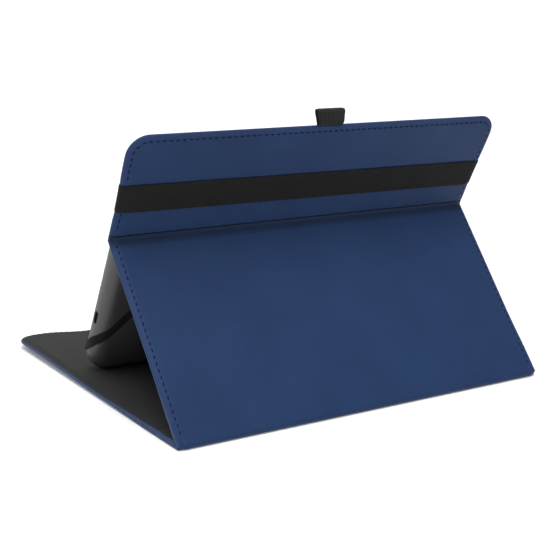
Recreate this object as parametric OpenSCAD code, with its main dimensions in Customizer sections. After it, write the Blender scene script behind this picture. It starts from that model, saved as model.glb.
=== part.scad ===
// Folio keyboard case for a ten-inch tablet, shown standing: the rear half of
// the back cover is the kickstand, the upper half carries a moulded holder
// tray, and the front cover lies flat with a small detachable keyboard on it.
// +X runs along the folds,
// +Y points to the rear fold, +Z is up. Origin: middle of the footprint, on
// the surface the case stands on. Millimetres.

/* [Cover] */
// Width of every cover panel, along the folds
cover_w = 260; // [240:1:280]
// Length of the front cover and of the unfolded back cover
cover_len = 192; // [186:1:205]
// Width of the spine between its two fold lines
spine_w = 23; // [21:1:27]
// Radius of the four free corners
corner_r = 12.5; // [6:0.5:20]
// Kickstand length, rear fold to crease
stand_len = 124; // [118:1:128]
// Kickstand angle above the table, degrees
stand_angle = 50; // [45:1:56]
// Lean of the upper panel above the table, degrees
screen_angle = 65.3; // [62:0.1:70]

/* [Tray] */
// Outer width of the holder tray
tray_w = 239; // [225:1:241]
// Outer depth of the holder tray, back to rim
tray_d = 10.5; // [10:0.5:12]
// Height of the tray above the crease
tray_up = 58; // [40:1:62]
// Rounding of the tray's back edges
tray_edge_r = 8; // [4:0.5:8]
// Corner radius of the tray seen from the front
tray_corner_r = 16; // [12:1:22]
// Wall thickness of the tray
tray_wall = 1.6; // [1.2:0.1:2]

/* [Straps] */
// Width of the elastic band round the upper panel
band_w = 18; // [14:1:22]
// Height of the middle of the elastic band above the crease
band_u = 27.4; // [24:0.1:34]
// Tilt of the elastic band, degrees
band_tilt = -0.5; // [-1:0.1:1]
// Width of the elastic corner straps
strap_w = 6; // [5:0.5:10]
// Width of the pen loop
loop_w = 20; // [14:1:26]
// Height of the pen loop's opening, empty and lying flat
loop_h = 9; // [7:0.1:11]
// Depth of the pen loop's opening, empty and lying flat
loop_gap = 2.4; // [1.6:0.1:4]

/* [Keyboard] */
// Width of the keyboard
kb_w = 152; // [150:1:156]
// Depth of the keyboard
kb_d = 66; // [65:1:67]
// Key pitch across
key_px = 12; // [11.8:0.1:12.1]
// Key pitch front to back
key_py = 11.6; // [11.3:0.1:11.7]
// Gap between neighbouring keycaps
key_gap = 1.6; // [1.4:0.1:2.2]
// Key travel the cavity under each keycap leaves
key_travel = 1.2; // [0.8:0.1:1.2]

/* [Hidden] */
T = 4;                 // panel thickness: skin, board, lining
skin_t = 0.8;          // leather thickness
hem = 4.4;             // sewn hem on the free edges, outside the board
hem_f = 1.6;           // hem at the fold ends
bead_r = 1.9;          // leather roll on each fold line
fold_r = bead_r + 0.3; // clearance round a roll
tongue = 1.8;          // leather thickness next to a roll
gA = 2.4;              // board starts this far from the front fold
gB = 4.6;              // board starts this far from the rear fold
gC = 2.4;              // board ends this far from the lower crease
strip = 4.5;           // distance between the two crease lines
gD = 2.7;              // upper board starts this far from the upper crease
up_phi = 180 - screen_angle;
rear_in = 4.3;         // rear fold axis, in from the rear line
front_len = cover_len + 0.3;
up_len = cover_len - stand_len + 0.2;
depth = rear_in + spine_w + front_len;       // rear line to front edge
Y0 = (depth + rear_in - bead_r - 0.1) / 2;   // centres the footprint
// fold axes as [Y, Z]
B = [Y0 - rear_in, T/2];
A = [B[0] - spine_w, T/2];
C = [B[0] - stand_len*cos(stand_angle), B[1] + stand_len*sin(stand_angle)];
top_z = T;             // upper face of the lining on the front cover
pad_t = 1.5;           // bonding pad between upper panel and tray
back_w = -T/2 - pad_t; // back face of the tray
front_w = back_w - tray_d;
// the tray reaches down until its rounded back edge is 0.15 above the lining
foot_gap = 0.15;
tray_lo = ((top_z + foot_gap + tray_edge_r - C[1]
           - (-back_w + tray_edge_r)*cos(screen_angle)) / sin(screen_angle)) - tray_edge_r;
strap_t = 0.8;
loop_wall = 0.9;
sx = tray_w/2;
// keyboard, Y of its rear edge
kb_y1 = C[0] + tray_lo*cos(screen_angle) + front_w*sin(screen_angle) - strap_t - 1.4;
kb_y0 = kb_y1 - kb_d;
kb_foot = 0.6;
kz0 = top_z + kb_foot; // underside of the keyboard's base
kz_floor = 0.8;
kz_deck0 = kz0 + 2.8;
kz_deck1 = kz_deck0 + 1.4;
kz_cap0 = kz_deck0 + 0.1 + key_travel;  // a pressed cap stays above the bosses
kz_cap1 = kz_deck1 + 1.6;
kb_wall = 1.2;
key_x0 = -6*key_px;            // left end of the key field
key_y0 = kb_y0 + 2.6;          // front end of the key field
screw_pos = [[-66.5, 3.2], [66.5, 3.2], [-30, 3.2], [30, 3.2]];

// ---------- placing ----------
// local frame of a panel: x across, u away from the pivot (local +y), and
// w towards the blue outer side (local +z); phi is the panel's direction,
// 0 forwards, 90 up, 180 to the rear
module place(P, phi) {
  translate([0, P[0], P[1]]) rotate([-phi, 0, 0]) mirror([0, 1, 0]) children();
}
module on_front() { place(A, 0) mirror([0, 0, 1]) children(); }
module on_spine() { place(A, 180) children(); }
module on_stand() { place(B, stand_angle) children(); }
module on_upper() { place(C, up_phi) children(); }

// ---------- cover panels ----------
// panel outline inset by e on the free edges and e0 at the fold ends
module outline(u0, u1, r, e, e0 = 0, e1 = 0) {
  hw = cover_w/2;
  if (r > 0) {
    translate([-hw + e, u0 + e0]) square([2*hw - 2*e, u1 - r - u0 - e0]);
    translate([-hw + r, u0 + e0]) square([2*hw - 2*r, u1 - e - u0 - e0]);
    for (s = [-1, 1]) translate([s*(hw - r), u1 - r]) circle(r = r - e, $fn = 64);
  } else {
    translate([-hw + e, u0 + e0]) square([2*hw - 2*e, u1 - u0 - e0 - e1]);
  }
}
module roll_u(u, r = bead_r, trim = 1) {
  translate([-cover_w/2 + trim, u, 0]) rotate([0, 90, 0])
    cylinder(r = r, h = cover_w - 2*trim, $fn = 48);
}
// leather between a fold line and the board; solid up to the roll or,
// with clear=true, hollowed to run round the neighbour's roll
module web(u_axis, u_board, clear) {
  u_end = u_board + 0.2*sign(u_board - u_axis); // 0.2 into the hem beyond
  difference() {
    translate([-cover_w/2 + 1, min(u_axis, u_end), -tongue/2])
      cube([cover_w - 2, abs(u_end - u_axis), tongue]);
    if (clear) roll_u(u_axis, fold_r, 0);
  }
}
module skin_shell(u0, u1, r, e1 = hem_f) {
  difference() {
    translate([0, 0, -T/2 + skin_t]) linear_extrude(T - skin_t) outline(u0, u1, r, 0);
    translate([0, 0, -T/2 + skin_t - 1]) linear_extrude(T - 2*skin_t + 1)
      outline(u0, u1, r, hem, hem_f, e1);
  }
}
module board_solid(u0, u1, r, e1 = hem_f) {
  translate([0, 0, -T/2 + skin_t]) linear_extrude(T - 2*skin_t)
    outline(u0, u1, r, hem, hem_f, e1);
}
module lining_solid(u0, u1, r, e1 = 0.8) {
  translate([0, 0, -T/2]) linear_extrude(skin_t) outline(u0, u1, r, 0.8, 0.8, e1);
}
leather = [0.16, 0.24, 0.40];
grey = [0.24, 0.24, 0.24];

// front cover, lies on the table
module front_cover_skin() { color(leather) on_front() {
  skin_shell(gA, front_len, corner_r);
  web(0, gA, false);
  roll_u(0);
} }
// pockets for the four magnets that hold the keyboard
module magnet_discs(r, h, z) {
  for (sxx = [-1, 1]) for (f = [0.24, 0.76])
    translate([sxx*60, kb_y0 + f*kb_d, z]) cylinder(r = r, h = h, $fn = 40);
}
module front_cover_board() { color("tan") difference() {
  on_front() board_solid(gA, front_len, corner_r);
  magnet_discs(6, 1.2, T - skin_t - 1.2);
} }
module front_cover_lining() { color(grey) on_front() lining_solid(gA, front_len, corner_r); }
module cover_magnets() { color("silver") magnet_discs(6, 1.2, T - skin_t - 1.2); }

// spine, carries the roll of the rear fold
module spine_skin() { color(leather) on_spine() {
  skin_shell(gA, spine_w - gB, 0);
  web(0, gA, true);
  web(spine_w, spine_w - gB, false);
  roll_u(spine_w);
} }
module spine_board() { color("tan") on_spine() board_solid(gA, spine_w - gB, 0); }
module spine_lining() { color(grey) on_spine() lining_solid(gA, spine_w - gB, 0); }

// kickstand, carries the roll of the lower crease
module stand_skin() { color(leather) on_stand() {
  skin_shell(gB, stand_len - gC, 0);
  web(0, gB, true);
  web(stand_len, stand_len - gC, false);
  roll_u(stand_len);
} }
module stand_board() { color("tan") on_stand() board_solid(gB, stand_len - gC, 0); }
module stand_lining() { color(grey) on_stand() lining_solid(gB, stand_len - gC, 0); }

// narrow leather strip between the two crease lines
module crease_strip() { color(leather) on_upper() {
  web(0, strip, true);
  roll_u(strip);
} }

// upper panel, pen loop's tail enters its top edge
module loop_tail() {
  translate([-loop_w/2, up_len - 10, -0.6]) cube([loop_w, 10.5, 1.2]);
}
module upper_skin() { color(leather) on_upper() difference() {
  union() {
    skin_shell(strip + gD, up_len, corner_r);
    web(strip, strip + gD, true);
  }
  translate([-loop_w/2, up_len - 9.9, -0.6]) cube([loop_w, 12, 1.2]);
} }
module upper_board() { color("tan") on_upper() difference() {
  board_solid(strip + gD, up_len, corner_r);
  loop_tail();
} }
module upper_lining() { color(grey) on_upper() lining_solid(strip + gD, up_len, corner_r); }

// elastic band round the outside of the upper panel, ends turned in behind
module elastic_band() {
  t = 0.9; hw = cover_w/2;
  color([0.13, 0.13, 0.13]) on_upper() difference() {
    translate([0, band_u, 0]) rotate([0, 0, -band_tilt])
      translate([-hw - t, -band_w/2, -T/2 - t]) cube([2*hw + 2*t, band_w, T + 2*t]);
    translate([-hw, 0, -T/2]) cube([2*hw, 100, T]);
    translate([-hw + 15, 0, -T/2 - t - 1]) cube([2*hw - 30, 100, T]);
  }
}

// section of the flat pen loop, grown by g
module loop_section(g) {
  r = loop_gap/2 + g;
  hull() for (v = [loop_gap/2, loop_h - loop_gap/2])
    translate([up_len + 0.4 + loop_wall + v, 0]) circle(r = r, $fn = 48);
}
// loop of elastic for a pen, on the top edge; empty it lies almost flat
module pen_loop() {
  color([0.16, 0.16, 0.16]) on_upper() {
    translate([-loop_w/2, 0, 0]) rotate([90, 0, 90]) linear_extrude(loop_w) difference() {
      union() {
        loop_section(loop_wall);
        translate([up_len, -1.1]) square([1.5, 2.2]);
      }
      loop_section(0);
    }
    loop_tail();
  }
}

// ---------- tray ----------
// rounded block of the tray grown by g; its back faces the panel
module tray_corner(g, h0, h1, er, pr) {
  translate([0, 0, -h0]) rotate([180, 0, 0]) rotate_extrude($fn = 48)
    polygon(concat([[0, 0]],
      [for (a = [0:15:90]) [pr - er + er*sin(a), er - er*cos(a)]],
      [[pr, h1 - h0], [0, h1 - h0]]));
}
module tray_block(g, open = 0) {
  er = tray_edge_r + g; pr = tray_corner_r + g;
  lo = tray_lo - g; hi = tray_up + g; hx = sx + g;
  hull() for (x = [-1, 1]) for (u = [lo + pr, hi - pr])
    translate([x*(hx - pr), u, back_w])
      tray_corner(g, -g, tray_d + (open > 0 ? open : g), er, pr);
}
port_u = -65.6;
port_w = front_w + 3.2;
// oval of the port opening, grown by g, pushed in from the left wall
module port_oval(g, x0, x1) {
  translate([x1, port_u, port_w]) rotate([0, -90, 0]) linear_extrude(x1 - x0)
    hull() for (s = [-1, 1]) translate([0, s*2.9]) circle(r = 1.6 + g, $fn = 32);
}
module holder_tray() { color([0.32, 0.32, 0.33]) on_upper() difference() {
  tray_block(0);
  tray_block(-tray_wall, 2);
  port_oval(0, sx - 10, sx + 4);
  // channels the upper straps lie in, flush with the surface
  for (m = [0, 1]) mirror([m, 0, 0]) intersection() {
    difference() { tray_block(0.5); tray_block(-strap_t - 0.1); }
    slab(sx, tray_up - 24, 135, -6, 42, front_w - 3, 0, 0.1);
  }
  // slots in the bottom wall for the strap ends
  for (s = [-1, 1]) translate([s*(sx - 21.7) - 6, tray_lo - 3, front_w + 1.8])
    cube([12, 6, 1.0]);
} }
// soft rubber membrane in the port opening, slit for the plug
module port_grommet() { color([0.05, 0.05, 0.05]) on_upper() difference() {
  port_oval(-0.04, sx - tray_wall - 0.5, sx - 0.45);
  port_oval(-0.7, sx - tray_wall + 0.2, sx + 1);
  translate([sx - 5, port_u - 2.9, port_w - 0.1]) cube([10, 5.8, 0.2]);
} }
module tray_mount_pad() { color([0.1, 0.1, 0.1]) on_upper()
  translate([-88, 13, back_w]) cube([176, 43, pad_t]); }
module tray_pad() { color([0.28, 0.28, 0.28]) on_upper()
  translate([0, 0, back_w - tray_wall - 0.8]) linear_extrude(0.8)
    hull() for (x = [-1, 1]) for (u = [tray_lo + tray_corner_r, tray_up - tray_corner_r])
      translate([x*(sx - tray_corner_r), u]) circle(r = tray_corner_r - 9, $fn = 48); }

// elastic straps hug the tray: a thin layer on its surface, cut by slabs
module strap_layer() { difference() {
  tray_block(strap_t + 0.05);
  tray_block(0.05);
} }
module slab(x, u, ang, len0, len1, w0, w1, g = 0) {
  translate([x, u, 0]) rotate([0, 0, ang])
    translate([len0, -strap_w/2 - g, w0]) cube([len1 - len0, strap_w + 2*g, w1 - w0]);
}
mid_w = back_w - 5;
side_k = 0.76;  // rise of the lower strap for each unit up the side wall
module lower_strap() {
  uS = tray_lo + 21.7;
  vw = strap_w*sqrt(1 + side_k*side_k);  // height of the slanting band
  u0 = uS + 0.7 - side_k*(mid_w - front_w);
  intersection() {
    strap_layer();
    union() {
      // over the rounded edge and up the back
      slab(sx, uS, 129, -6, 121, mid_w, 0);
      // slanting down the side wall
      multmatrix([[1, 0, 0, sx - 1.5], [0, 1, side_k, u0 - vw/2], [0, 0, 1, front_w]])
        translate([0, 0, -2]) cube([4, vw, mid_w - front_w + 2.01]);
      // across the corner in front and over the bottom edge to its slot
      difference() {
        slab(sx, u0, 220, -6, 36, front_w - 3, front_w + 4);
        translate([sx - 1.4, tray_lo - 5, front_w + 0.05]) cube([10, 60, 10]);
        translate([0, tray_lo - 5, front_w + 1.8]) cube([sx - 14, 12, 12]);
      }
    }
  }
}
module upper_strap() {
  intersection() {
    difference() { tray_block(-0.05); tray_block(-strap_t - 0.05); }
    slab(sx, tray_up - 24, 135, -6, 42, front_w - 3, 0);
  }
}
elastic = [0.09, 0.09, 0.09];
module strap_lower_left() { color(elastic) on_upper() lower_strap(); }
module strap_lower_right() { color(elastic) on_upper() mirror([1, 0, 0]) lower_strap(); }
module strap_upper_left() { color(elastic) on_upper() upper_strap(); }
module strap_upper_right() { color(elastic) on_upper() mirror([1, 0, 0]) upper_strap(); }
// sewn tabs that hold the straps to the lining of the upper panel
module strap_anchors() { color([0.12, 0.12, 0.12]) on_upper() for (m = [0, 1]) mirror([m, 0, 0]) {
  translate([sx - 12, tray_up - 12, 0]) rotate([0, 0, 135])
    translate([-5, -4, -T/2 - 1.45]) cube([10, 8, 1.45]);
  translate([44, 9.4, -T/2 - 0.65]) rotate([0, 0, 129]) translate([-3.2, -4, 0]) cube([4.2, 8, 0.65]);
} }

// ---------- keyboard ----------
module rbox(x0, x1, y0, y1, z0, z1, r) {
  translate([x0 + r, y0, z0]) cube([x1 - x0 - 2*r, y1 - y0, z1 - z0]);
  translate([x0, y0 + r, z0]) cube([x1 - x0, y1 - y0 - 2*r, z1 - z0]);
  for (x = [x0 + r, x1 - r]) for (y = [y0 + r, y1 - r])
    translate([x, y, z0]) cylinder(r = r, h = z1 - z0, $fn = 32);
}
port_y = kb_y1 - 11;
switch_y = kb_y1 - 26;
module keyboard_base() { color([0.15, 0.15, 0.16]) difference() {
  rbox(-kb_w/2, kb_w/2, kb_y0, kb_y1, kz0, kz_deck0, 4);
  rbox(-kb_w/2 + kb_wall, kb_w/2 - kb_wall, kb_y0 + kb_wall, kb_y1 - kb_wall,
       kz0 + kz_floor, kz_deck0 + 1, 2.8);
  for (p = screw_pos) for (v = [kb_y0 + 1.2 + p[1] - 1.2, kb_y1 - p[1]]) translate([p[0], v, 0]) {
    translate([0, 0, kz0 - 1]) cylinder(r = 0.85, h = 4, $fn = 32);
    translate([0, 0, kz0 - 1]) cylinder(r = 1.7, h = 1.45, $fn = 32);
  }
  translate([-kb_w/2 - 1, port_y - 3.8, kz0 + 0.75]) cube([4, 7.6, 1.95]);
  translate([-kb_w/2 - 1, switch_y - 3.4, kz0 + 0.95]) cube([4, 6.8, 1.5]);
} }
// one keycap, its lower left corner on the key grid at units x, row
function row_y(row) = key_y0 + row*key_py;
module cap_hole(x, row, w, h = 1, dy = 0) {
  translate([key_x0 + x*key_px + key_gap/2 - 0.35, row_y(row) + key_gap/2 + dy - 0.35, kz_deck0 - 1])
    cube([w*key_px - key_gap + 0.7, h*key_py - key_gap + 0.7, 4]);
}
module cap(x, row, w, h = 1, dy = 0) {
  rbox(key_x0 + x*key_px + key_gap/2, key_x0 + (x + w)*key_px - key_gap/2,
       row_y(row) + key_gap/2 + dy, row_y(row) + dy + h*key_py - key_gap/2,
       kz_cap0, kz_cap1, 1.2);
}
// rows from the front: 0 space row ... 4 number row; [x, width] of each cap.
// x runs from the keyboard's own left, which is +X, so it is mirrored below
R4 = [for (i = [0:10]) [i*1.0, 1]];
R3 = concat([for (i = [0:9]) [1.25 + i, 1]], [[11.25, 0.75]]);
R2 = [for (i = [0:8]) [1.5 + i, 1]];
R1 = [for (i = [0:8]) [1.75 + i, 1]];
R0 = [[0, 1.25], [1.25, 1], [2.25, 1], [3.25, 1], [8, 1]];
K_back = [[11, 4, 1]]; K_tab = [[0, 3, 1.25]]; K_caps = [[0, 2, 1.5]];
K_enter = [[10.5, 2, 1.5]]; K_shl = [[0, 1, 1.75]]; K_shr = [[10.75, 1, 1.25]];
K_space = [[4.25, 0, 3.75]]; K_left = [[9, 0, 1]]; K_right = [[11, 0, 1]];
module row_caps(R, row) { mirror([1, 0, 0]) for (k = R) cap(k[0], row, k[1]); }
module one_cap(K) { mirror([1, 0, 0]) for (k = K) cap(k[0], k[1], k[2]); }
module arrow(up) { mirror([1, 0, 0]) cap(10, 0, 1, (key_py + key_gap)/2/key_py - 0.02, up ? key_py/2 - key_gap/2 + 0.23 : 0); }
keyc = [0.11, 0.11, 0.12];
module keyboard_deck() { color([0.17, 0.17, 0.18]) {
  difference() {
    rbox(-kb_w/2, kb_w/2, kb_y0, kb_y1, kz_deck0, kz_deck1, 4);
    mirror([1, 0, 0]) {
      for (k = R4) cap_hole(k[0], 4, k[1]);
      for (k = R3) cap_hole(k[0], 3, k[1]);
      for (k = R2) cap_hole(k[0], 2, k[1]);
      for (k = R1) cap_hole(k[0], 1, k[1]);
      for (k = R0) cap_hole(k[0], 0, k[1]);
      for (k = concat(K_back, K_tab, K_caps, K_enter, K_shl, K_shr, K_space, K_left, K_right))
        cap_hole(k[0], k[1], k[2]);
      cap_hole(10, 0, 1);
    }
    for (i = [0:2]) translate([-60 - 5*i, kb_y1 - 3, kz_deck0 - 1]) cylinder(r = 0.8, h = 4, $fn = 24);
  }
  // screw bosses under the deck
  for (p = screw_pos) for (v = [kb_y0 + p[1], kb_y1 - p[1]]) translate([p[0], v, kz0 + kz_floor])
    difference() {
      cylinder(r = 1.7, h = kz_deck0 - kz0 - kz_floor, $fn = 32);
      translate([0, 0, -1]) cylinder(r = 0.85, h = 2.6, $fn = 32);
    }
} }
module keyboard_pcb() { color("darkgreen") difference() {
  translate([-kb_w/2 + 2.5, kb_y0 + 6, kz0 + kz_floor + 0.3]) cube([kb_w - 5, kb_d - 12, 0.7]);
  translate([-24, kb_y0 + 12, kz0]) cube([48, 32, 4]);
  translate([-kb_w/2, switch_y - 5, kz0]) cube([8, 30, 4]);
} }
module dome_sheet() { color([0.75, 0.75, 0.75]) {
  translate([-kb_w/2 + 2.5, kb_y0 + 6.5, kz0 + kz_floor + 1.0]) difference() {
    cube([kb_w - 5, kb_d - 13, 0.2]);
    translate([-1, switch_y - 5 - kb_y0 - 6.5, -1]) cube([7, 30, 3]);
  }
  for (r = [1:4]) for (i = [0:10]) if (abs(i - 5) < 5.5)
    translate([key_x0 + (i + 1)*key_px, row_y(r) + key_py/2 - (r == 4 ? 2.6 : 0), kz0 + kz_floor + 1.2])
      cylinder(r = 2.2, h = 0.35, $fn = 24);
} }
module battery() { color([0.8, 0.8, 0.82])
  translate([-23, kb_y0 + 13, kz0 + kz_floor]) cube([46, 30, 0.95]); }
module charge_port() { color("silver") difference() {
  translate([-kb_w/2 + 0.15, port_y - 3.7, kz0 + 0.8]) cube([5.2, 7.4, 1.85]);
  translate([-kb_w/2 - 1, port_y - 3.4, kz0 + 1.05]) cube([5.6, 6.8, 1.35]);
} }
module indicator_lenses() { color([0.6, 0.7, 0.6]) for (i = [0:2])
  translate([-60 - 5*i, kb_y1 - 3, kz_deck0 + 0.3]) cylinder(r = 0.75, h = 1.1, $fn = 24); }
module keyboard_magnets() { color("silver") for (s = [-1, 1]) for (f = [0.24, 0.76])
  translate([s*60, kb_y0 + f*kb_d, kz0 + kz_floor]) cylinder(r = 4, h = 0.3, $fn = 40); }
module rubber_feet() { color([0.05, 0.05, 0.05]) for (s = [-1, 1]) for (v = [kb_y0 + 9, kb_y1 - 9])
  translate([s*(kb_w/2 - 6.5), v, top_z]) cylinder(r = 3.5, h = kb_foot, $fn = 40); }
module keyboard_screws() { color([0.3, 0.3, 0.3])
  for (p = screw_pos) for (v = [kb_y0 + p[1], kb_y1 - p[1]]) translate([p[0], v, kz0 + 0.05]) {
    difference() {
      cylinder(r = 1.6, h = 0.4, $fn = 32);
      for (a = [0, 90]) rotate([0, 0, a]) translate([-0.9, -0.15, -0.1]) cube([1.8, 0.3, 0.3]);
    }
    cylinder(r = 0.82, h = 1.9, $fn = 32);
  } }
module power_switch() { color([0.5, 0.5, 0.5]) {
  translate([-kb_w/2 + 0.1, switch_y - 2.9, kz0 + 1.05]) cube([3.4, 3.2, 1.3]);
  translate([-kb_w/2 - 0.6, switch_y - 2.3, kz0 + 1.2]) cube([1, 2, 1.0]);
} }
module keys_number_row() { color(keyc) row_caps(R4, 4); }
module keys_upper_row() { color(keyc) row_caps(R3, 3); }
module keys_home_row() { color(keyc) row_caps(R2, 2); }
module keys_lower_row() { color(keyc) row_caps(R1, 1); }
module keys_modifiers() { color(keyc) row_caps(R0, 0); }
module key_backspace() { color(keyc) one_cap(K_back); }
module key_tab() { color(keyc) one_cap(K_tab); }
module key_caps() { color(keyc) one_cap(K_caps); }
module key_enter() { color(keyc) one_cap(K_enter); }
module key_shift_left() { color(keyc) one_cap(K_shl); }
module key_shift_right() { color(keyc) one_cap(K_shr); }
module key_space() { color(keyc) one_cap(K_space); }
module key_arrow_left() { color(keyc) one_cap(K_left); }
module key_arrow_right() { color(keyc) one_cap(K_right); }
module key_arrow_up() { color(keyc) arrow(true); }
module key_arrow_down() { color(keyc) arrow(false); }

front_cover_skin();
front_cover_board();
front_cover_lining();
cover_magnets();
spine_skin();
spine_board();
spine_lining();
stand_skin();
stand_board();
stand_lining();
crease_strip();
upper_skin();
upper_board();
upper_lining();
elastic_band();
pen_loop();
tray_mount_pad();
holder_tray();
port_grommet();
tray_pad();
strap_lower_left();
strap_lower_right();
strap_upper_left();
strap_upper_right();
strap_anchors();
keyboard_base();
keyboard_deck();
keyboard_pcb();
dome_sheet();
battery();
charge_port();
indicator_lenses();
keyboard_magnets();
rubber_feet();
keyboard_screws();
power_switch();
keys_number_row();
keys_upper_row();
keys_home_row();
keys_lower_row();
keys_modifiers();
key_backspace();
key_tab();
key_caps();
key_enter();
key_shift_left();
key_shift_right();
key_space();
key_arrow_left();
key_arrow_up();
key_arrow_down();
key_arrow_right();
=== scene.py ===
"""Looks of the folio keyboard case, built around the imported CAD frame.
Lengths in this file are in millimetres; make() turns them into metres."""

import math

import bmesh
import bpy
import numpy as np
from mathutils import Matrix, Vector


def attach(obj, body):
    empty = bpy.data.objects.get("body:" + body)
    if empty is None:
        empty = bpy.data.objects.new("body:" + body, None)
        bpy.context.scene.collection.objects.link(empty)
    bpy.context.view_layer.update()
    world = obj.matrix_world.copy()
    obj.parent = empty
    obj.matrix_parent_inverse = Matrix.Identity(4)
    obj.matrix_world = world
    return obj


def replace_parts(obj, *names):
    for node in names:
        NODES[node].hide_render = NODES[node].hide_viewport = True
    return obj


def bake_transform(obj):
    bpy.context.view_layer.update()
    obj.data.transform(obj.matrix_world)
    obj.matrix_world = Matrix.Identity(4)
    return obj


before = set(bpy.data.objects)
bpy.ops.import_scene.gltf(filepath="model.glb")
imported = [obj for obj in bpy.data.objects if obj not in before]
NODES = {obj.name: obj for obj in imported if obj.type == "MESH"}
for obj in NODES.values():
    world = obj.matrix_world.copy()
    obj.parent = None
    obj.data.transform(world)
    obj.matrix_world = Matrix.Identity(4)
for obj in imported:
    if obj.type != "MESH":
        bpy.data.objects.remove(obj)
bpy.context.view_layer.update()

MM = 0.001

# ------------------------------------------------------------------ frames
# the numbers repeat part.scad
HW, CORNER = 130.0, 12.5
PHI_STAND, PHI_UPPER = math.radians(50.0), math.radians(114.7)
A = np.array([83.65, 2.0])
B = np.array([106.65, 2.0])
C = B + 124.0 * np.array([-math.cos(PHI_STAND), math.sin(PHI_STAND)])
UP_LEN = 68.2
BAND_U, BAND_W, BAND_TILT = 27.4, 18.0, math.radians(-0.5)
SX, TRAY_UP, BACK_W, TRAY_D, TRAY_WALL, STRAP_W = 119.5, 58.0, -3.5, 10.5, 1.6, 6.0
FRONT_W = BACK_W - TRAY_D
SCREEN = math.radians(65.3)
TRAY_LO = (
    (4 + 0.15 + 8 - C[1] - (-BACK_W + 8) * math.cos(SCREEN)) / math.sin(SCREEN)
) - 8
KB_Y1 = C[0] + TRAY_LO * math.cos(SCREEN) + FRONT_W * math.sin(SCREEN) - 0.8 - 1.4
KB_Y0 = KB_Y1 - 66.0


class Fr:
    """A panel's own frame: x across, u away from its fold, w towards the blue side."""

    def __init__(self, p, e, n):
        self.p, self.e, self.n = np.array(p, float), np.array(e, float), np.array(n, float)

    def at(self, x, u, w):
        x, u, w = np.broadcast_arrays(
            np.asarray(x, float), np.asarray(u, float), np.asarray(w, float)
        )
        y = self.p[0] + u * self.e[0] + w * self.n[0]
        z = self.p[1] + u * self.e[1] + w * self.n[1]
        return np.stack([x, y, z], -1)

    def way(self, x, u, w):
        return np.array([x, u * self.e[0] + w * self.n[0], u * self.e[1] + w * self.n[1]])


def panel(p, phi):
    return Fr(p, (-math.cos(phi), math.sin(phi)), (math.sin(phi), math.cos(phi)))


FRONT = Fr(A, (-1, 0), (0, -1))
SPINE = panel(A, math.pi)
STAND = panel(B, PHI_STAND)
UPPER = panel(C, PHI_UPPER)
WORLD = Fr((0, 0), (1, 0), (0, 1))  # u is Y and w is Z
D = UPPER.p + 4.5 * UPPER.e


# ------------------------------------------------------------------ mesh help
def make(name, v, faces, material, sharp=None, fix=True, attrs=None):
    """A closed mesh from points in millimetres, with its normals outwards."""
    me = bpy.data.meshes.new(name)
    me.from_pydata((np.asarray(v) * MM).tolist(), [], [list(f) for f in faces])
    if attrs:
        for key, values in attrs.items():
            a = me.attributes.new(key, "FLOAT", "POINT")
            a.data.foreach_set("value", np.asarray(values, np.float32))
    if fix:
        bm = bmesh.new()
        bm.from_mesh(me)
        bmesh.ops.recalc_face_normals(bm, faces=bm.faces)
        bm.to_mesh(me)
        bm.free()
    me.polygons.foreach_set("use_smooth", [True] * len(me.polygons))
    if sharp is not None:
        me.set_sharp_from_angle(angle=math.radians(sharp))
    me.update()
    o = bpy.data.objects.new(name, me)
    bpy.context.scene.collection.objects.link(o)
    if material is not None:
        me.materials.append(material)
    return o


def grid_faces(nx, ny, base=0, flip=False):
    i, j = np.meshgrid(np.arange(nx - 1), np.arange(ny - 1), indexing="ij")
    a = (base + i * ny + j).ravel()
    q = np.stack([a, a + ny, a + ny + 1, a + 1], 1)
    return q[:, ::-1] if flip else q


def rim_loop(nx, ny):
    """Indices of a grid's border, once round."""
    s = [(i, 0) for i in range(nx)]
    s += [(nx - 1, j) for j in range(1, ny)]
    s += [(i, ny - 1) for i in range(nx - 2, -1, -1)]
    s += [(0, j) for j in range(ny - 2, 0, -1)]
    return np.array([i * ny + j for i, j in s])


def bridge(loop_a, loop_b):
    a2, b2 = np.roll(loop_a, -1), np.roll(loop_b, -1)
    return np.stack([loop_a, a2, b2, loop_b], 1)


def lines(length, start, end, step):
    """Grid lines over 0..length: start marks in from 0, end marks in from length, even ones between."""
    lo, hi = start[-1], length - end[-1]
    n = max(1, int(round((hi - lo) / step)))
    mid = np.linspace(lo, hi, n + 1)[1:-1]
    return np.concatenate([start, mid, length - np.asarray(end[::-1])])


def plate(x0, x1, u0, u1, xs, us, r_hi=0.0, r_lo=0.0):
    """Grid of a plate whose corners at u1 (r_hi) and u0 (r_lo) are rounded. Returns X, U and the distance to the side and end edges."""
    X, U = np.meshgrid(x0 + xs, u0 + us, indexing="ij")
    X, U = X.copy(), U.copy()
    dx = np.minimum(X - x0, x1 - X)
    dhi, dlo = u1 - U, U - u0
    d = dx.copy()
    for r, du, up in ((r_hi, dhi, 1), (r_lo, dlo, -1)):
        if r <= 0:
            continue
        d = np.minimum(d, du)
        m = (dx < r) & (du < r)
        a, b = (r - dx[m]) / r, (r - du[m]) / r
        big = np.maximum(np.maximum(a, b), 1e-9)
        th = np.where(a >= b, math.pi / 4 * (b / big), math.pi / 2 - math.pi / 4 * (a / big))
        side = np.where(X[m] < (x0 + x1) / 2, -1.0, 1.0)
        cx = np.where(side < 0, x0 + r, x1 - r)
        cu = u1 - r if up > 0 else u0 + r
        X[m] = cx + side * r * big * np.cos(th)
        U[m] = cu + up * r * big * np.sin(th)
        d[m] = r * (1 - big)
    return X, U, d


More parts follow.
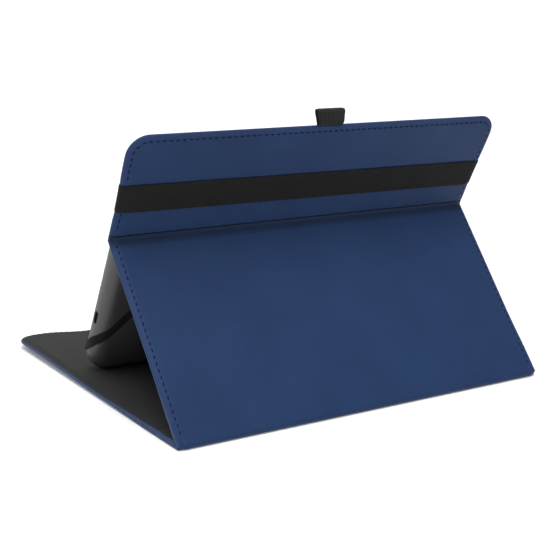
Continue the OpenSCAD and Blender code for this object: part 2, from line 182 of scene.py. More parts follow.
def waves(x, u, seed=0.0):
    """Slow, even undulation, from about -1 to 1."""
    s = seed
    return (
        0.42 * np.sin(0.047 * x + 1.3 + s)
        + 0.30 * np.sin(0.033 * x - 0.061 * u + 0.7 + 1.7 * s)
        + 0.30 * np.sin(0.087 * u + 0.4 + 0.013 * x + 2.1 * s)
        + 0.16 * np.sin(0.121 * x + 0.083 * u + 2.2 + 0.6 * s)
    )


def slab(name, fr, X, U, top, bottom, material, attrs=None):
    nx, ny = X.shape
    v = np.concatenate([fr.at(X, U, top).reshape(-1, 3), fr.at(X, U, bottom).reshape(-1, 3)])
    n = nx * ny
    loop = rim_loop(nx, ny)
    faces = np.concatenate([grid_faces(nx, ny), grid_faces(nx, ny, n, True), bridge(loop, loop + n)])
    if attrs:
        attrs = {k: np.concatenate([a.ravel(), a.ravel()]) for k, a in attrs.items()}
    return make(name, v, faces.tolist(), material, attrs=attrs)


# ------------------------------------------------------------------ materials
def tree(name):
    m = bpy.data.materials.new(name)
    m.use_nodes = True
    nt = m.node_tree
    nt.nodes.clear()
    out = nt.nodes.new("ShaderNodeOutputMaterial")
    b = nt.nodes.new("ShaderNodeBsdfPrincipled")
    nt.links.new(b.outputs[0], out.inputs[0])
    return m, nt, b


def lin(r, g, b):
    def f(c):
        c /= 255.0
        return c / 12.92 if c <= 0.04045 else ((c + 0.055) / 1.055) ** 2.4

    return (f(r), f(g), f(b), 1.0)


def coords(nt, scale=(1, 1, 1), turn=(0, 0, 0)):
    c = nt.nodes.new("ShaderNodeTexCoord")
    mp = nt.nodes.new("ShaderNodeMapping")
    mp.inputs["Scale"].default_value = scale
    mp.inputs["Rotation"].default_value = turn
    nt.links.new(c.outputs["Object"], mp.inputs[0])
    return mp.outputs[0]


def noise(nt, vec, scale, detail=4.0, rough=0.55, dist=0.0):
    n = nt.nodes.new("ShaderNodeTexNoise")
    n.inputs["Scale"].default_value = scale
    n.inputs["Detail"].default_value = detail
    n.inputs["Roughness"].default_value = rough
    n.inputs["Distortion"].default_value = dist
    nt.links.new(vec, n.inputs["Vector"])
    return n.outputs["Fac"]


def voronoi(nt, vec, scale, feature="F1", rand=1.0):
    n = nt.nodes.new("ShaderNodeTexVoronoi")
    n.feature = feature
    n.inputs["Scale"].default_value = scale
    n.inputs["Randomness"].default_value = rand
    nt.links.new(vec, n.inputs["Vector"])
    return n.outputs["Distance"]


def wave(nt, vec, scale, kind="BANDS", axis="X", profile="SIN", dist=0.0):
    n = nt.nodes.new("ShaderNodeTexWave")
    n.wave_type = kind
    n.bands_direction = axis
    n.wave_profile = profile
    n.inputs["Scale"].default_value = scale
    n.inputs["Distortion"].default_value = dist
    n.inputs["Detail"].default_value = 1.0
    nt.links.new(vec, n.inputs["Vector"])
    return n.outputs["Fac"]


def ramp(nt, fac, stops):
    n = nt.nodes.new("ShaderNodeValToRGB")
    e = n.color_ramp.elements
    while len(e) < len(stops):
        e.new(0.5)
    for k, (p, c) in enumerate(stops):
        e[k].position, e[k].color = p, c
    nt.links.new(fac, n.inputs[0])
    return n.outputs["Color"]


def rng(nt, fac, a, b, lo=0.0, hi=1.0):
    n = nt.nodes.new("ShaderNodeMapRange")
    n.inputs["From Min"].default_value, n.inputs["From Max"].default_value = lo, hi
    n.inputs["To Min"].default_value, n.inputs["To Max"].default_value = a, b
    nt.links.new(fac, n.inputs["Value"])
    return n.outputs["Result"]


def math2(nt, op, a, b=None, value=None):
    n = nt.nodes.new("ShaderNodeMath")
    n.operation = op
    nt.links.new(a, n.inputs[0])
    if b is not None:
        nt.links.new(b, n.inputs[1])
    if value is not None:
        n.inputs[1].default_value = value
    return n.outputs[0]


def mixc(nt, fac, a, b, mode="MIX"):
    n = nt.nodes.new("ShaderNodeMix")
    n.data_type = "RGBA"
    n.blend_type = mode
    if isinstance(fac, float):
        n.inputs[0].default_value = fac
    else:
        nt.links.new(fac, n.inputs[0])
    for sock, val in ((n.inputs[6], a), (n.inputs[7], b)):
        if isinstance(val, tuple):
            sock.default_value = val
        else:
            nt.links.new(val, sock)
    return n.outputs[2]


def attr(nt, name):
    n = nt.nodes.new("ShaderNodeAttribute")
    n.attribute_type = "GEOMETRY"
    n.attribute_name = name
    return n.outputs["Fac"]


def bump(nt, b, *layers):
    """layers are (height, distance in metres); they stack into the shader's normal."""
    last = None
    for height, dist in layers:
        n = nt.nodes.new("ShaderNodeBump")
        n.inputs["Strength"].default_value = 1.0
        n.inputs["Distance"].default_value = dist
        nt.links.new(height, n.inputs["Height"])
        if last is not None:
            nt.links.new(last, n.inputs["Normal"])
        last = n.outputs["Normal"]
    nt.links.new(last, b.inputs["Normal"])


def leather():
    m, nt, b = tree("navy_leather")
    v = coords(nt)
    cells = voronoi(nt, v, 1250.0)
    fine = noise(nt, v, 2600.0, 3.0, 0.6)
    mid = noise(nt, v, 420.0, 3.0, 0.6)
    big = noise(nt, v, 26.0, 3.0, 0.55)
    base = ramp(nt, big, [(0.28, (0.0115, 0.0336, 0.1010, 1)), (0.72, (0.0146, 0.0408, 0.1178, 1))])
    pores = ramp(nt, cells, [(0.0, (0.93, 0.93, 0.93, 1)), (0.75, (1.0, 1.0, 1.0, 1)), (1.0, (0.84, 0.84, 0.86, 1))])
    col = mixc(nt, 1.0, base, pores, "MULTIPLY")
    # painted highlight: the band outside the seam, over the turned hem and rounded edge, is painted a shade lighter
    # and bluer
    hem = attr(nt, "hem")
    col = mixc(nt, math2(nt, "MULTIPLY", hem, value=0.15), col, (0.032, 0.045, 0.180, 1))
    wear = attr(nt, "wear")
    rub = math2(nt, "MULTIPLY", wear, rng(nt, mid, 0.15, 0.85, 0.35, 0.65))
    col = mixc(nt, math2(nt, "MULTIPLY", rub, value=0.42), col, (0.050, 0.068, 0.160, 1))
    # painted shade: the leather is darkened along the fold creases, standing in for the shade in the crease's hollow
    col = mixc(nt, attr(nt, "painted_crease_shade"), col, (0.0028, 0.0075, 0.0200, 1))
    nt.links.new(col, b.inputs["Base Color"])
    nt.links.new(rng(nt, mid, 0.50, 0.64), b.inputs["Roughness"])
    b.inputs["Specular IOR Level"].default_value = 0.16
    b.inputs["Sheen Weight"].default_value = 0.05
    b.inputs["Sheen Roughness"].default_value = 0.5
    bump(nt, b, (cells, 0.00006), (fine, 0.00004), (mid, 0.00008))
    return m


def lining():
    m, nt, b = tree("grey_microfibre")
    v = coords(nt)
    nap = noise(nt, v, 3200.0, 4.0, 0.7)
    tuft = noise(nt, v, 650.0, 4.0, 0.65, 0.4)
    brushed = noise(nt, coords(nt, (1.0, 0.22, 1.0)), 160.0, 3.0, 0.6)
    big = noise(nt, v, 19.0, 2.0, 0.5)
    col = ramp(nt, big, [(0.25, (0.0178, 0.0186, 0.0184, 1)), (0.75, (0.0218, 0.0226, 0.0222, 1))])
    col = mixc(nt, 1.0, col, ramp(nt, nap, [(0.3, (0.82, 0.82, 0.82, 1)), (0.7, (1.12, 1.12, 1.12, 1))]), "MULTIPLY")
    col = mixc(nt, 1.0, col, ramp(nt, brushed, [(0.3, (0.93, 0.93, 0.93, 1)), (0.7, (1.05, 1.05, 1.05, 1))]), "MULTIPLY")
    nt.links.new(col, b.inputs["Base Color"])
    nt.links.new(rng(nt, tuft, 0.86, 0.97), b.inputs["Roughness"])
    b.inputs["Specular IOR Level"].default_value = 0.12
    b.inputs["Sheen Weight"].default_value = 0.05
    b.inputs["Sheen Roughness"].default_value = 0.6
    bump(nt, b, (nap, 0.00006), (tuft, 0.00010))
    return m


def thread(name, rgb):
    m, nt, b = tree(name)
    v = coords(nt)
    ply = wave(nt, coords(nt, (1, 1, 1), (0.6, 0.5, 0.7)), 900.0)
    n = noise(nt, v, 1800.0)
    lo = tuple(c * 0.6 for c in rgb[:3]) + (1,)
    nt.links.new(mixc(nt, math2(nt, "MULTIPLY", ply, n), lo, rgb), b.inputs["Base Color"])
    nt.links.new(rng(nt, n, 0.5, 0.75), b.inputs["Roughness"])
    b.inputs["Specular IOR Level"].default_value = 0.12
    bump(nt, b, (ply, 0.00012))
    return m


def elastic(name, across, along, shade=1.0):
    """Woven elastic: across is the direction the ribs are spaced in, along the way they run."""
    m, nt, b = tree(name)
    v = coords(nt)
    ax = Matrix((across, along, np.cross(across, along))).to_euler()
    w = coords(nt, (1, 1, 1), tuple(ax))
    rib = wave(nt, w, 190.0, axis="X")
    pick = wave(nt, w, 330.0, axis="Y", dist=0.8)
    fuzz = noise(nt, v, 2400.0, 3.0, 0.7)
    big = noise(nt, v, 60.0, 3.0)
    lo, hi = 0.0055 * shade, 0.0130 * shade
    c = mixc(nt, fuzz, (lo, lo, lo, 1), (hi, hi * 1.02, hi, 1))
    c = mixc(nt, 1.0, c, ramp(nt, pick, [(0.0, (0.72, 0.72, 0.72, 1)), (1.0, (1.1, 1.1, 1.1, 1))]), "MULTIPLY")
    c = mixc(nt, 1.0, c, ramp(nt, big, [(0.3, (0.9, 0.9, 0.9, 1)), (0.7, (1.08, 1.08, 1.08, 1))]), "MULTIPLY")
    nt.links.new(c, b.inputs["Base Color"])
    nt.links.new(rng(nt, fuzz, 0.72, 0.92), b.inputs["Roughness"])
    b.inputs["Specular IOR Level"].default_value = 0.14
    b.inputs["Sheen Weight"].default_value = 0.03
    bump(nt, b, (rib, 0.00005), (pick, 0.00006), (fuzz, 0.00004))
    return m


def plastic(name, rgb, rough=(0.42, 0.52), grain=2600.0, depth=0.00002, spec=0.4, vary=0.06, scuff=0.0):
    m, nt, b = tree(name)
    v = coords(nt)
    g = noise(nt, v, grain, 2.0, 0.6)
    big = noise(nt, v, 34.0, 3.0)
    lo = tuple(c * (1 - vary) for c in rgb[:3]) + (1,)
    hi = tuple(c * (1 + vary) for c in rgb[:3]) + (1,)
    col = ramp(nt, big, [(0.3, lo), (0.7, hi)])
    if scuff:
        s = noise(nt, coords(nt, (1, 1, 6)), 240.0, 6.0, 0.75, 1.5)
        col = mixc(nt, rng(nt, s, 0.0, scuff, 0.62, 0.8), col, tuple(min(1, c * 2.2) for c in rgb[:3]) + (1,))
    nt.links.new(col, b.inputs["Base Color"])
    nt.links.new(rng(nt, g, rough[0], rough[1]), b.inputs["Roughness"])
    b.inputs["Specular IOR Level"].default_value = spec
    bump(nt, b, (g, depth))
    return m


def felt(name, rgb):
    m, nt, b = tree(name)
    v = coords(nt)
    f1 = noise(nt, v, 1500.0, 5.0, 0.75, 0.8)
    f2 = noise(nt, v, 300.0, 4.0, 0.7, 1.2)
    lo = tuple(c * 0.7 for c in rgb[:3]) + (1,)
    hi = tuple(c * 1.3 for c in rgb[:3]) + (1,)
    nt.links.new(mixc(nt, f1, lo, hi), b.inputs["Base Color"])
    nt.links.new(rng(nt, f2, 0.88, 0.98), b.inputs["Roughness"])
    b.inputs["Specular IOR Level"].default_value = 0.1
    b.inputs["Sheen Weight"].default_value = 0.08
    bump(nt, b, (f1, 0.00012), (f2, 0.00015))
    return m


def metal(name, rgb, rough=(0.25, 0.4), axis="X"):
    m, nt, b = tree(name)
    sc = {"X": (0.04, 1, 1), "Y": (1, 0.04, 1)}[axis]
    g = noise(nt, coords(nt, sc), 2500.0, 2.0, 0.6)
    big = noise(nt, coords(nt), 120.0)
    nt.links.new(ramp(nt, big, [(0.3, tuple(c * 0.88 for c in rgb[:3]) + (1,)), (0.7, rgb)]), b.inputs["Base Color"])
    b.inputs["Metallic"].default_value = 1.0
    nt.links.new(rng(nt, g, rough[0], rough[1]), b.inputs["Roughness"])
    bump(nt, b, (g, 0.00001))
    return m


def board_mat():
    m, nt, b = tree("pressed_board")
    v = coords(nt)
    f = noise(nt, v, 900.0, 5.0, 0.7)
    g = noise(nt, coords(nt, (0.15, 1, 1)), 700.0, 4.0, 0.7)
    nt.links.new(mixc(nt, f, lin(140, 116, 84), lin(182, 158, 122)), b.inputs["Base Color"])
    nt.links.new(rng(nt, g, 0.8, 0.95), b.inputs["Roughness"])
    bump(nt, b, (g, 0.00008))
    return m


def pcb_mat():
    m, nt, b = tree("solder_mask")
    v = coords(nt)
    tracks = wave(nt, v, 260.0, axis="X", profile="SAW", dist=2.5)
    n = noise(nt, v, 300.0)
    nt.links.new(
        mixc(nt, rng(nt, tracks, 0.0, 1.0, 0.75, 0.8), lin(14, 62, 38), lin(28, 96, 58)), b.inputs["Base Color"]
    )
    nt.links.new(rng(nt, n, 0.2, 0.35), b.inputs["Roughness"])
    bump(nt, b, (tracks, 0.00003))
    return m


def clear_mat(name, rgb):
    m, nt, b = tree(name)
    n = noise(nt, coords(nt), 900.0, 3.0)
    nt.links.new(mixc(nt, n, tuple(c * 0.85 for c in rgb[:3]) + (1,), rgb), b.inputs["Base Color"])
    nt.links.new(rng(nt, n, 0.18, 0.32), b.inputs["Roughness"])
    b.inputs["Subsurface Weight"].default_value = 0.15
    b.inputs["Subsurface Radius"].default_value = (0.0006, 0.0006, 0.0006)
    return m


M_LEATHER = leather()
M_LINING = lining()
M_THREAD = thread("navy_thread", (0.0040, 0.0120, 0.0520, 1))
M_THREAD_IN = thread("grey_thread", (0.020, 0.021, 0.021, 1))
U_E, U_N = (0.0, UPPER.e[0], UPPER.e[1]), (0.0, UPPER.n[0], UPPER.n[1])
M_BAND = elastic("band_elastic", U_E, (1, 0, 0), 1.35)
M_LOOP = elastic("loop_elastic", (1, 0, 0), U_E, 2.5)
M_STRAP = elastic("strap_elastic", (0.70, 0.70 * UPPER.e[0], 0.70 * UPPER.e[1]), (-0.7071, 0.7071 * UPPER.e[0], 0.7071 * UPPER.e[1]), 1.15)
M_TRAY = plastic("tray_grey", (0.060, 0.060, 0.061, 1), rough=(0.36, 0.46), grain=3000.0, depth=0.000012, spec=0.45, vary=0.05, scuff=0.12)
M_FELT = felt("tray_felt_grey", (0.055, 0.055, 0.056, 1))
M_FOAM = felt("bond_foam", (0.010, 0.010, 0.010, 1))
M_SHELL = plastic("keyboard_black", (0.0125, 0.0125, 0.0132, 1), rough=(0.42, 0.6), grain=1700.0, depth=0.00005, spec=0.4, vary=0.12, scuff=0.05)
M_KEY = plastic("keycap_black", (0.0088, 0.0088, 0.0094, 1), rough=(0.34, 0.5), grain=3600.0, depth=0.000015, spec=0.4, vary=0.10, scuff=0.06)
M_BOARD = board_mat()
M_DISC = metal("disc_steel", (0.62, 0.62, 0.64, 1))
M_PORT = metal("port_plate", (0.60, 0.60, 0.62, 1), (0.2, 0.35), "Y")
M_SCREW = metal("screw_black", (0.10, 0.10, 0.10, 1), (0.35, 0.5))
M_FOIL = metal("cell_foil_mat", (0.72, 0.72, 0.74, 1), (0.3, 0.55), "Y")
M_RUBBER = plastic("foot_black", (0.010, 0.010, 0.010, 1), rough=(0.75, 0.9), grain=1500.0, depth=0.00006, spec=0.2, vary=0.15)
M_PCB = pcb_mat()
M_DOME = clear_mat("silicone_dome", lin(196, 198, 200))
M_LENS = clear_mat("lens_clear", lin(176, 196, 178))
M_SWITCH = plastic("switch_grey", (0.045, 0.045, 0.047, 1), rough=(0.4, 0.55), grain=1800.0, depth=0.00004)

# ------------------------------------------------------------------ cover panels
EDGE = np.array([0, 0.08, 0.22, 0.45, 0.75, 1.1, 1.5, 2.0, 2.5, 2.85, 3.1, 3.25, 3.4, 3.55, 3.7, 3.95, 4.22, 4.3, 4.5, 5.2, 6.2, 7.5, 9.2, 10.8, CORNER])
FOLD = np.array([0, 0.2, 0.5, 0.85, 1.2, 1.5, 1.56, 1.9, 2.5, 3.4, 4.6, 6.2, 7.6])
SEAM = 3.4


def smooth(a, b, t):
    t = np.clip((t - a) / (b - a), 0, 1)
    return t * t * (3 - 2 * t)


def taper(d, amp=0.8):
    """How much thinner each side of a panel is near its free edge, outside the board."""
    return amp * (1 - smooth(1.0, 4.2, d))


def edge_top(d, amp=0.8):
    """Height of the leather at the distance d from a free edge; a thicker edge is also squarer."""
    d = np.asarray(d, float)
    r = np.minimum(0.7 + 0.5 * (amp - 0.15) / 0.65, 2 - amp)
    e = np.clip(r - d, 0, r)
    puff = np.exp(-(((d - 1.9) / 0.9) ** 2))
    top = 2.0 - (r - np.sqrt(np.maximum(r**2 - e**2, 0))) - taper(d, amp)
    return top - 0.22 * np.exp(-(((d - SEAM) / 0.6) ** 2)) - 0.05 * (1 - puff) * smooth(0.9, 2.0, d)


def edge_amp(name, f0):
    """The cover is nearly full thickness at the two main folds and thins towards its free ends."""
    if name.startswith("front_cover"):
        return 0.15 + 0.65 * smooth(6.0, 70.0, f0) + 0.2 * smooth(90.0, 160.0, f0)
    if name.startswith("kickstand"):
        return 0.15 + 0.65 * smooth(4.0, 40.0, f0)
    return 0.15 + 0 * f0 if name.startswith("spine") else 0.8 + 0 * f0


def skin(name, fr, u0, u1, free_end, drop0, drop1, seed, step=2.6, bow=None):
    """Leather skin wrapped round a panel: thin rounded edges, turned-under edge, pocket for the board."""
    xs = lines(2 * HW, EDGE, EDGE, step)
    us = lines(u1 - u0, FOLD, EDGE if free_end else FOLD, step)
    X, U, d = plate(-HW, HW, u0, u1, xs, us, CORNER if free_end else 0.0)
    f0 = U - u0
    f1 = u1 - U if not free_end else np.full_like(U, 99.0)
    amp = edge_amp(name, f0)
    top = edge_top(d, amp)
    top -= drop0 * np.clip(1 - f0 / 1.6, 0, 1) ** 2 + drop1 * np.clip(1 - f1 / 1.6, 0, 1) ** 2
    inside = smooth(5.6, 11.0, d) * smooth(7.0, 16.0, f0) * smooth(7.0, 16.0, f1)
    top -= inside * (0.10 + 0.075 * waves(X, U, seed))
    if name == "upper_panel_leather":
        top -= 0.13 * smooth(3.0, 5.0, d) * (1 - smooth(8.2, 10.5, np.abs(U - BAND_U + X * math.tan(BAND_TILT))))
    thin = taper(d, amp)
    lap = -1.24 + thin - 0.62 * smooth(0.0, 0.62, d) * (1 - smooth(0.86, 1.1, d))
    under = np.where((d < 4.25) | (f0 < 1.53) | (f1 < 1.53), lap, 1.22)
    under = np.where(np.minimum(np.minimum(d, f0), f1) < 0.05, np.maximum(under, -1.15 + thin), under)
    for dist in (f0, f1):
        under = np.where((dist < 1.53) & (d > 4.25), -1.2, under)
    if bow is not None:
        top, under = top + bow(X, U), under + bow(X, U)
    # painted highlight: the band between the edge and the seam is marked to be drawn lighter
    hem_paint = (1 - smooth(SEAM - 0.5, SEAM + 0.5, d)) * smooth(0.0, 1.2, d)
    wear = np.exp(-(((d - 0.55) / 0.55) ** 2))
    if free_end:  # corners rub most
        cx, cu = HW - np.abs(X), u1 - U
        wear = wear * (0.45 + 0.55 * np.exp(-(cx + cu) / 26.0))
    else:
        wear = wear * 0.45
    if name.startswith(("front_cover", "spine")):
        wear = wear * 0.3
    return slab(name, fr, X, U, top, under, M_LEATHER, {"hem": hem_paint, "wear": wear})


def lining_sheet(name, fr, u0, u1, free_end, seed, step=3.2, bow=None):
    """Microfibre lining inset from the edges, with the seam pressed into it."""
    i0 = 0.85
    hw = HW - i0
    marks = np.array([0, 0.07, 0.18, 0.35, 0.6, 1.0, 1.5, 1.95, 2.2, 2.38, 2.55, 2.72, 2.9, 3.15, 3.6, 4.3, 5.4, 6.9, 9.0, CORNER - i0])
    fold = np.array([0, 0.3, 0.7, 1.2, 1.8, 2.8, 4.4, 6.6])
    a, b = u0 + 0.8, (u1 - i0 if free_end else u1 - 0.8)
    xs = lines(2 * hw, marks, marks, step)
    us = lines(b - a, fold, marks if free_end else fold, step)
    X, U, d = plate(-hw, hw, a, b, xs, us, CORNER - i0 if free_end else 0.0)
    f0 = U - a
    f1 = b - U if not free_end else np.full_like(U, 99.0)
    r = 0.5
    e = np.clip(r - d, 0, r)
    thin = taper(d + i0, edge_amp(name, f0))
    low = -2.0 + thin + (r - np.sqrt(np.maximum(r**2 - e**2, 0)))
    low += 0.15 * (np.clip(1 - f0 / 1.4, 0, 1) ** 2 + np.clip(1 - f1 / 1.4, 0, 1) ** 2)
    low += 0.2 * np.exp(-(((d - (SEAM - i0)) / 0.5) ** 2))
    low += smooth(5, 10, d) * smooth(4, 9, f0) * smooth(4, 9, f1) * 0.035 * (1 + waves(X * 1.3, U * 1.2, seed))
    high = np.where(np.minimum(np.minimum(d, f0), f1) < 0.04, -1.30, -1.24) + thin
    if bow is not None:
        low, high = low + bow(X, U), high + bow(X, U)
    return slab(name, fr, X, U, low, high, M_LINING)


# ------------------------------------------------------------------ stitches
def seam_path(u0, u1, free_end, inset=SEAM, gap0=3.0, gap1=3.0):
    """Runs of the seam inset from the free edges, as dense polylines in x, u."""
    r = CORNER - inset
    x = HW - inset
    if free_end:
        a = np.linspace(0, math.pi / 2, 24)
        left = [(-x, u) for u in np.linspace(u0 + gap0, u1 - CORNER, 160)]
        c1 = [(-(HW - CORNER) - r * math.cos(t), u1 - CORNER + r * math.sin(t)) for t in a[1:]]
        top = [(q, u1 - inset) for q in np.linspace(-(HW - CORNER), HW - CORNER, 300)[1:]]
        c2 = [((HW - CORNER) + r * math.sin(t), u1 - CORNER + r * math.cos(t)) for t in a[1:]]
        right = [(x, u) for u in np.linspace(u1 - CORNER, u0 + gap0, 160)[1:]]
        return [np.array(left + c1 + top + c2 + right)]
    return [np.array([(s * x, u) for u in np.linspace(u0 + gap0, u1 - gap1, 200)]) for s in (-1, 1)]


def stitch_mesh(name, fr, paths, level, out, material, pitch=4.0, length=2.75, radius=0.33, bow=None, keep=None):
    """Separate thread stitches along the paths; each dives into the leather at both ends."""
    verts, faces = [], []
    na, nl = 7, 9
    for path in paths:
        seg = np.linalg.norm(np.diff(path, axis=0), axis=1)
        s = np.concatenate([[0], np.cumsum(seg)])
        total = s[-1]
        count = max(1, int(total // pitch))
        real = total / count
        for k in range(count):
            mid = (k + 0.5) * real
            t = np.linspace(-0.5, 0.5, nl) * length
            px, pu = np.interp(mid + t, s, path[:, 0]), np.interp(mid + t, s, path[:, 1])
            if keep is not None and not keep(px[nl // 2], pu[nl // 2]):
                continue
            tx, tu = np.gradient(px), np.gradient(pu)
            ln = np.hypot(tx, tu)
            sx, su = -tu / ln, tx / ln
            slant = 0.10 * t  # stitches lie a little askew, as on a machine seam
            px, pu = px + sx * slant, pu + su * slant
            lift = 0.22 - 0.75 * (np.abs(t) / (length / 2)) ** 3.2
            rad = radius * np.sqrt(np.clip(1 - (np.abs(t) / (length / 2 + 0.05)) ** 6, 0.12, 1))
            base = len(verts)
            for i in range(nl):
                for j in range(na):
                    ang = 2 * math.pi * j / na
                    a_, b_ = math.cos(ang) * rad[i], math.sin(ang) * rad[i] * 0.85
                    w = level + out * (lift[i] + b_)
                    if bow is not None:
                        w = w + bow(px[i], pu[i])
                    verts.append((px[i] + sx[i] * a_, pu[i] + su[i] * a_, w))
            for i in range(nl - 1):
                for j in range(na):
                    j2 = (j + 1) % na
                    faces.append((base + i * na + j, base + i * na + j2, base + (i + 1) * na + j2, base + (i + 1) * na + j))
            faces.append(tuple(base + j for j in range(na)))
            faces.append(tuple(base + (nl - 1) * na + j for j in reversed(range(na))))
    v = np.array(verts)
    return make(name, fr.at(v[:, 0], v[:, 1], v[:, 2]), faces, material)


# ------------------------------------------------------------------ strips across the folds
def strip_mesh(name, outer, thick, material, half=129.2, n=130, wobble=0.0, seed=0.0, flip=1, paint=False):
    """A sheet along X whose section follows outer (Y, Z points); thick goes to its left by flip."""
    outer = np.array(outer, float)
    t = np.gradient(outer, axis=0)
    t /= np.linalg.norm(t, axis=1)[:, None]
    nrm = np.stack([-t[:, 1], t[:, 0]], 1) * flip
    inner = outer + nrm * thick
    xs = np.concatenate([[-half, -half + 0.12, -half + 0.4], np.linspace(-half + 1.0, half - 1.0, n), [half - 0.4, half - 0.12, half]])
    m = len(outer)
    rings = []
    for x in xs:
        edge = min(abs(x + half), abs(x - half))
        k = 1.0 if edge >= 0.4 else (0.55 if edge < 0.05 else 0.85)
        mid = (outer + inner) / 2
        f = np.sin(np.linspace(0, math.pi, m))[:, None]
        shift = nrm * f * wobble * float(waves(np.array(x * 2.1), np.array(0.0), seed))
        o, i = mid + (outer - mid) * k + shift, mid + (inner - mid) * k + shift
        loop = np.concatenate([o, i[::-1]])
        rings.append(np.column_stack([np.full(2 * m, x), loop]))
    v = np.concatenate(rings)
    L = 2 * m
    faces = []
    for r in range(len(xs) - 1):
        a = r * L + np.arange(L)
        b = r * L + (np.arange(L) + 1) % L
        faces += np.stack([a, b, b + L, a + L], 1).tolist()
    for base, rev in ((0, True), ((len(xs) - 1) * L, False)):
        for k in range(m - 1):
            q = [base + k, base + k + 1, base + L - 2 - k, base + L - 1 - k]
            faces.append(q[::-1] if rev else q)
    attrs = None
    if paint:
        d = HW - np.abs(v[:, 0])
        # painted highlight on the band outside the seam; the wear term is edge rubbing
        attrs = {"hem": 1 - smooth(SEAM - 0.5, SEAM + 0.5, d), "wear": 0.3 * np.exp(-(((d - 0.9) / 0.7) ** 2))}
    return make(name, v, faces, material, attrs=attrs)


def fold_strip(name, pts, neutral, back, material, outside=True, seed=0.0, wobble=0.0, painted_crease_shade=None, amp=0.8):
    """A sheet along X across a fold, flush with the panels on both sides of it.

    pts is its outer section (Y, Z), neutral the point inside the fold that each is drawn
    towards as the edge gets thinner. At the very ends the leather closes the fold's
    thickness, reaching the distance back past the neutral points."""
    pts, neutral, back = np.array(pts, float), np.array(neutral, float), np.array(back, float)
    arm = np.linalg.norm(pts - neutral, axis=1)
    unit = (pts - neutral) / arm[:, None]
    if outside:
        ds = [0.12, 0.22, 0.4, 0.65, 0.9, 1.02, 1.04, 1.4, 1.9, 2.4, 2.8, 3.1, 3.4, 3.7, 4.1, 4.6, 5.4]
    else:
        ds = [1.15, 1.22, 1.35, 1.6, 2.1, 2.6, 3.0, 3.4, 3.8, 4.3, 5.4]
    xs = np.array([ds_ - HW for ds_ in ds] + np.linspace(8.0 - HW, HW - 8.0, 112).tolist() + [HW - ds_ for ds_ in reversed(ds)])
    m = len(pts)
    f = np.sin(np.linspace(0, math.pi, m))[:, None]
    rings = []
    for x in xs:
        d = HW - abs(x)
        if outside:
            k = edge_top(d, amp) / 1.95 * np.ones(m)
        else:
            k = np.ones(m) * (2.0 - taper(d, amp)) / 2.0 - 0.10 * float(np.exp(-(((d - SEAM) / 0.5) ** 2)))
            k -= 0.10 * max(0.0, 1 - (d - 1.15) / 0.25)
        shift = unit * f * wobble * float(waves(np.array(x * 2.1), np.array(0.0), seed)) * float(smooth(4.0, 9.0, d))
        o = neutral + unit * (arm * k)[:, None] + shift
        if outside and d < 1.03:
            i = neutral - unit * (back * k)[:, None]
        else:
            i = o - unit * np.minimum(0.75 if outside else 0.42, arm * k * 0.8)[:, None]
        rings.append(np.column_stack([np.full(2 * m, x), np.concatenate([o, i[::-1]])]))
    v = np.concatenate(rings)
    L = 2 * m
    faces = []
    for r in range(len(xs) - 1):
        a = r * L + np.arange(L)
        b = r * L + (np.arange(L) + 1) % L
        faces += np.stack([a, b, b + L, a + L], 1).tolist()
    for base, rev in ((0, True), ((len(xs) - 1) * L, False)):
        for k in range(m - 1):
            q = [base + k, base + k + 1, base + L - 2 - k, base + L - 1 - k]
            faces.append(q[::-1] if rev else q)
    attrs = None
    if outside:
        d = HW - np.abs(v[:, 0])
        # painted highlight on the band outside the seam; the wear term is edge rubbing
        attrs = {"hem": (1 - smooth(SEAM - 0.5, SEAM + 0.5, d)) * smooth(0.0, 1.2, d), "wear": 0.45 * np.exp(-(((d - 0.55) / 0.55) ** 2))}
        # painted shade: weights that darken the leather in the crease's hollow
        p = np.zeros(m) if painted_crease_shade is None else np.asarray(painted_crease_shade, float)
        attrs["painted_crease_shade"] = np.tile(np.concatenate([p, p[::-1]]), len(xs))
    return make(name, v, faces, material, attrs=attrs)


# ------------------------------------------------------------------ ribbons
def ribbon(name, mid, side, up, width, thick, material, ribs=0, depth=0.05, nv=24, ends=0.5, widths=None, sharp=None):
    """A band along mid (points in mm) with unit vectors across (side) and outward (up)."""
    mid, side, up = (np.asarray(q, float) for q in (mid, side, up))
    n = len(mid)
    vs = np.linspace(-1, 1, nv + 1)
    vs = np.sign(vs) * (1 - (1 - np.abs(vs)) ** 1.15)
    prof = 0.5 * thick * np.clip(1 - np.abs(vs) ** 14 * 0.75, 0.2, 1)
    if ribs:
        prof = prof - depth * 0.5 * (1 - np.cos(2 * math.pi * ribs * (vs + 1) / 2)) * (np.abs(vs) < 0.985)
    s = np.concatenate([[0], np.cumsum(np.linalg.norm(np.diff(mid, axis=0), axis=1))])
    rings = []
    for i in range(n):
        w = (widths[i] if widths is not None else width) / 2
        e = min(s[i], s[-1] - s[i])
        k = 1.0 if ends <= 0 or e > ends else 0.45 + 0.55 * e / ends
        top = mid[i] + np.outer(vs * w, side[i]) + np.outer(prof * k, up[i])
        bot = mid[i] + np.outer(vs * w, side[i]) - np.outer(prof * k, up[i])
        rings.append(np.concatenate([top, bot[::-1]]))
    v = np.concatenate(rings)
    L = 2 * (nv + 1)
    faces = []
    for r in range(n - 1):
        a = r * L + np.arange(L)
        b = r * L + (np.arange(L) + 1) % L
        faces += np.stack([a, b, b + L, a + L], 1).tolist()
    for base, rev in ((0, True), ((n - 1) * L, False)):
        for k in range(nv):
            q = [base + k, base + k + 1, base + L - 2 - k, base + L - 1 - k]
            faces.append(q[::-1] if rev else q)
    return make(name, v, faces, material, sharp=sharp)


def frames_along(mid, hint):
    """Unit side and up vectors along a path; hint gives the rough outward direction at each point."""
    mid, hint = np.asarray(mid, float), np.asarray(hint, float)
    t = np.gradient(mid, axis=0)
    t /= np.linalg.norm(t, axis=1)[:, None]
    up = hint - (hint * t).sum(1)[:, None] * t
    up /= np.linalg.norm(up, axis=1)[:, None]
    side = np.cross(t, up)
    return side, up


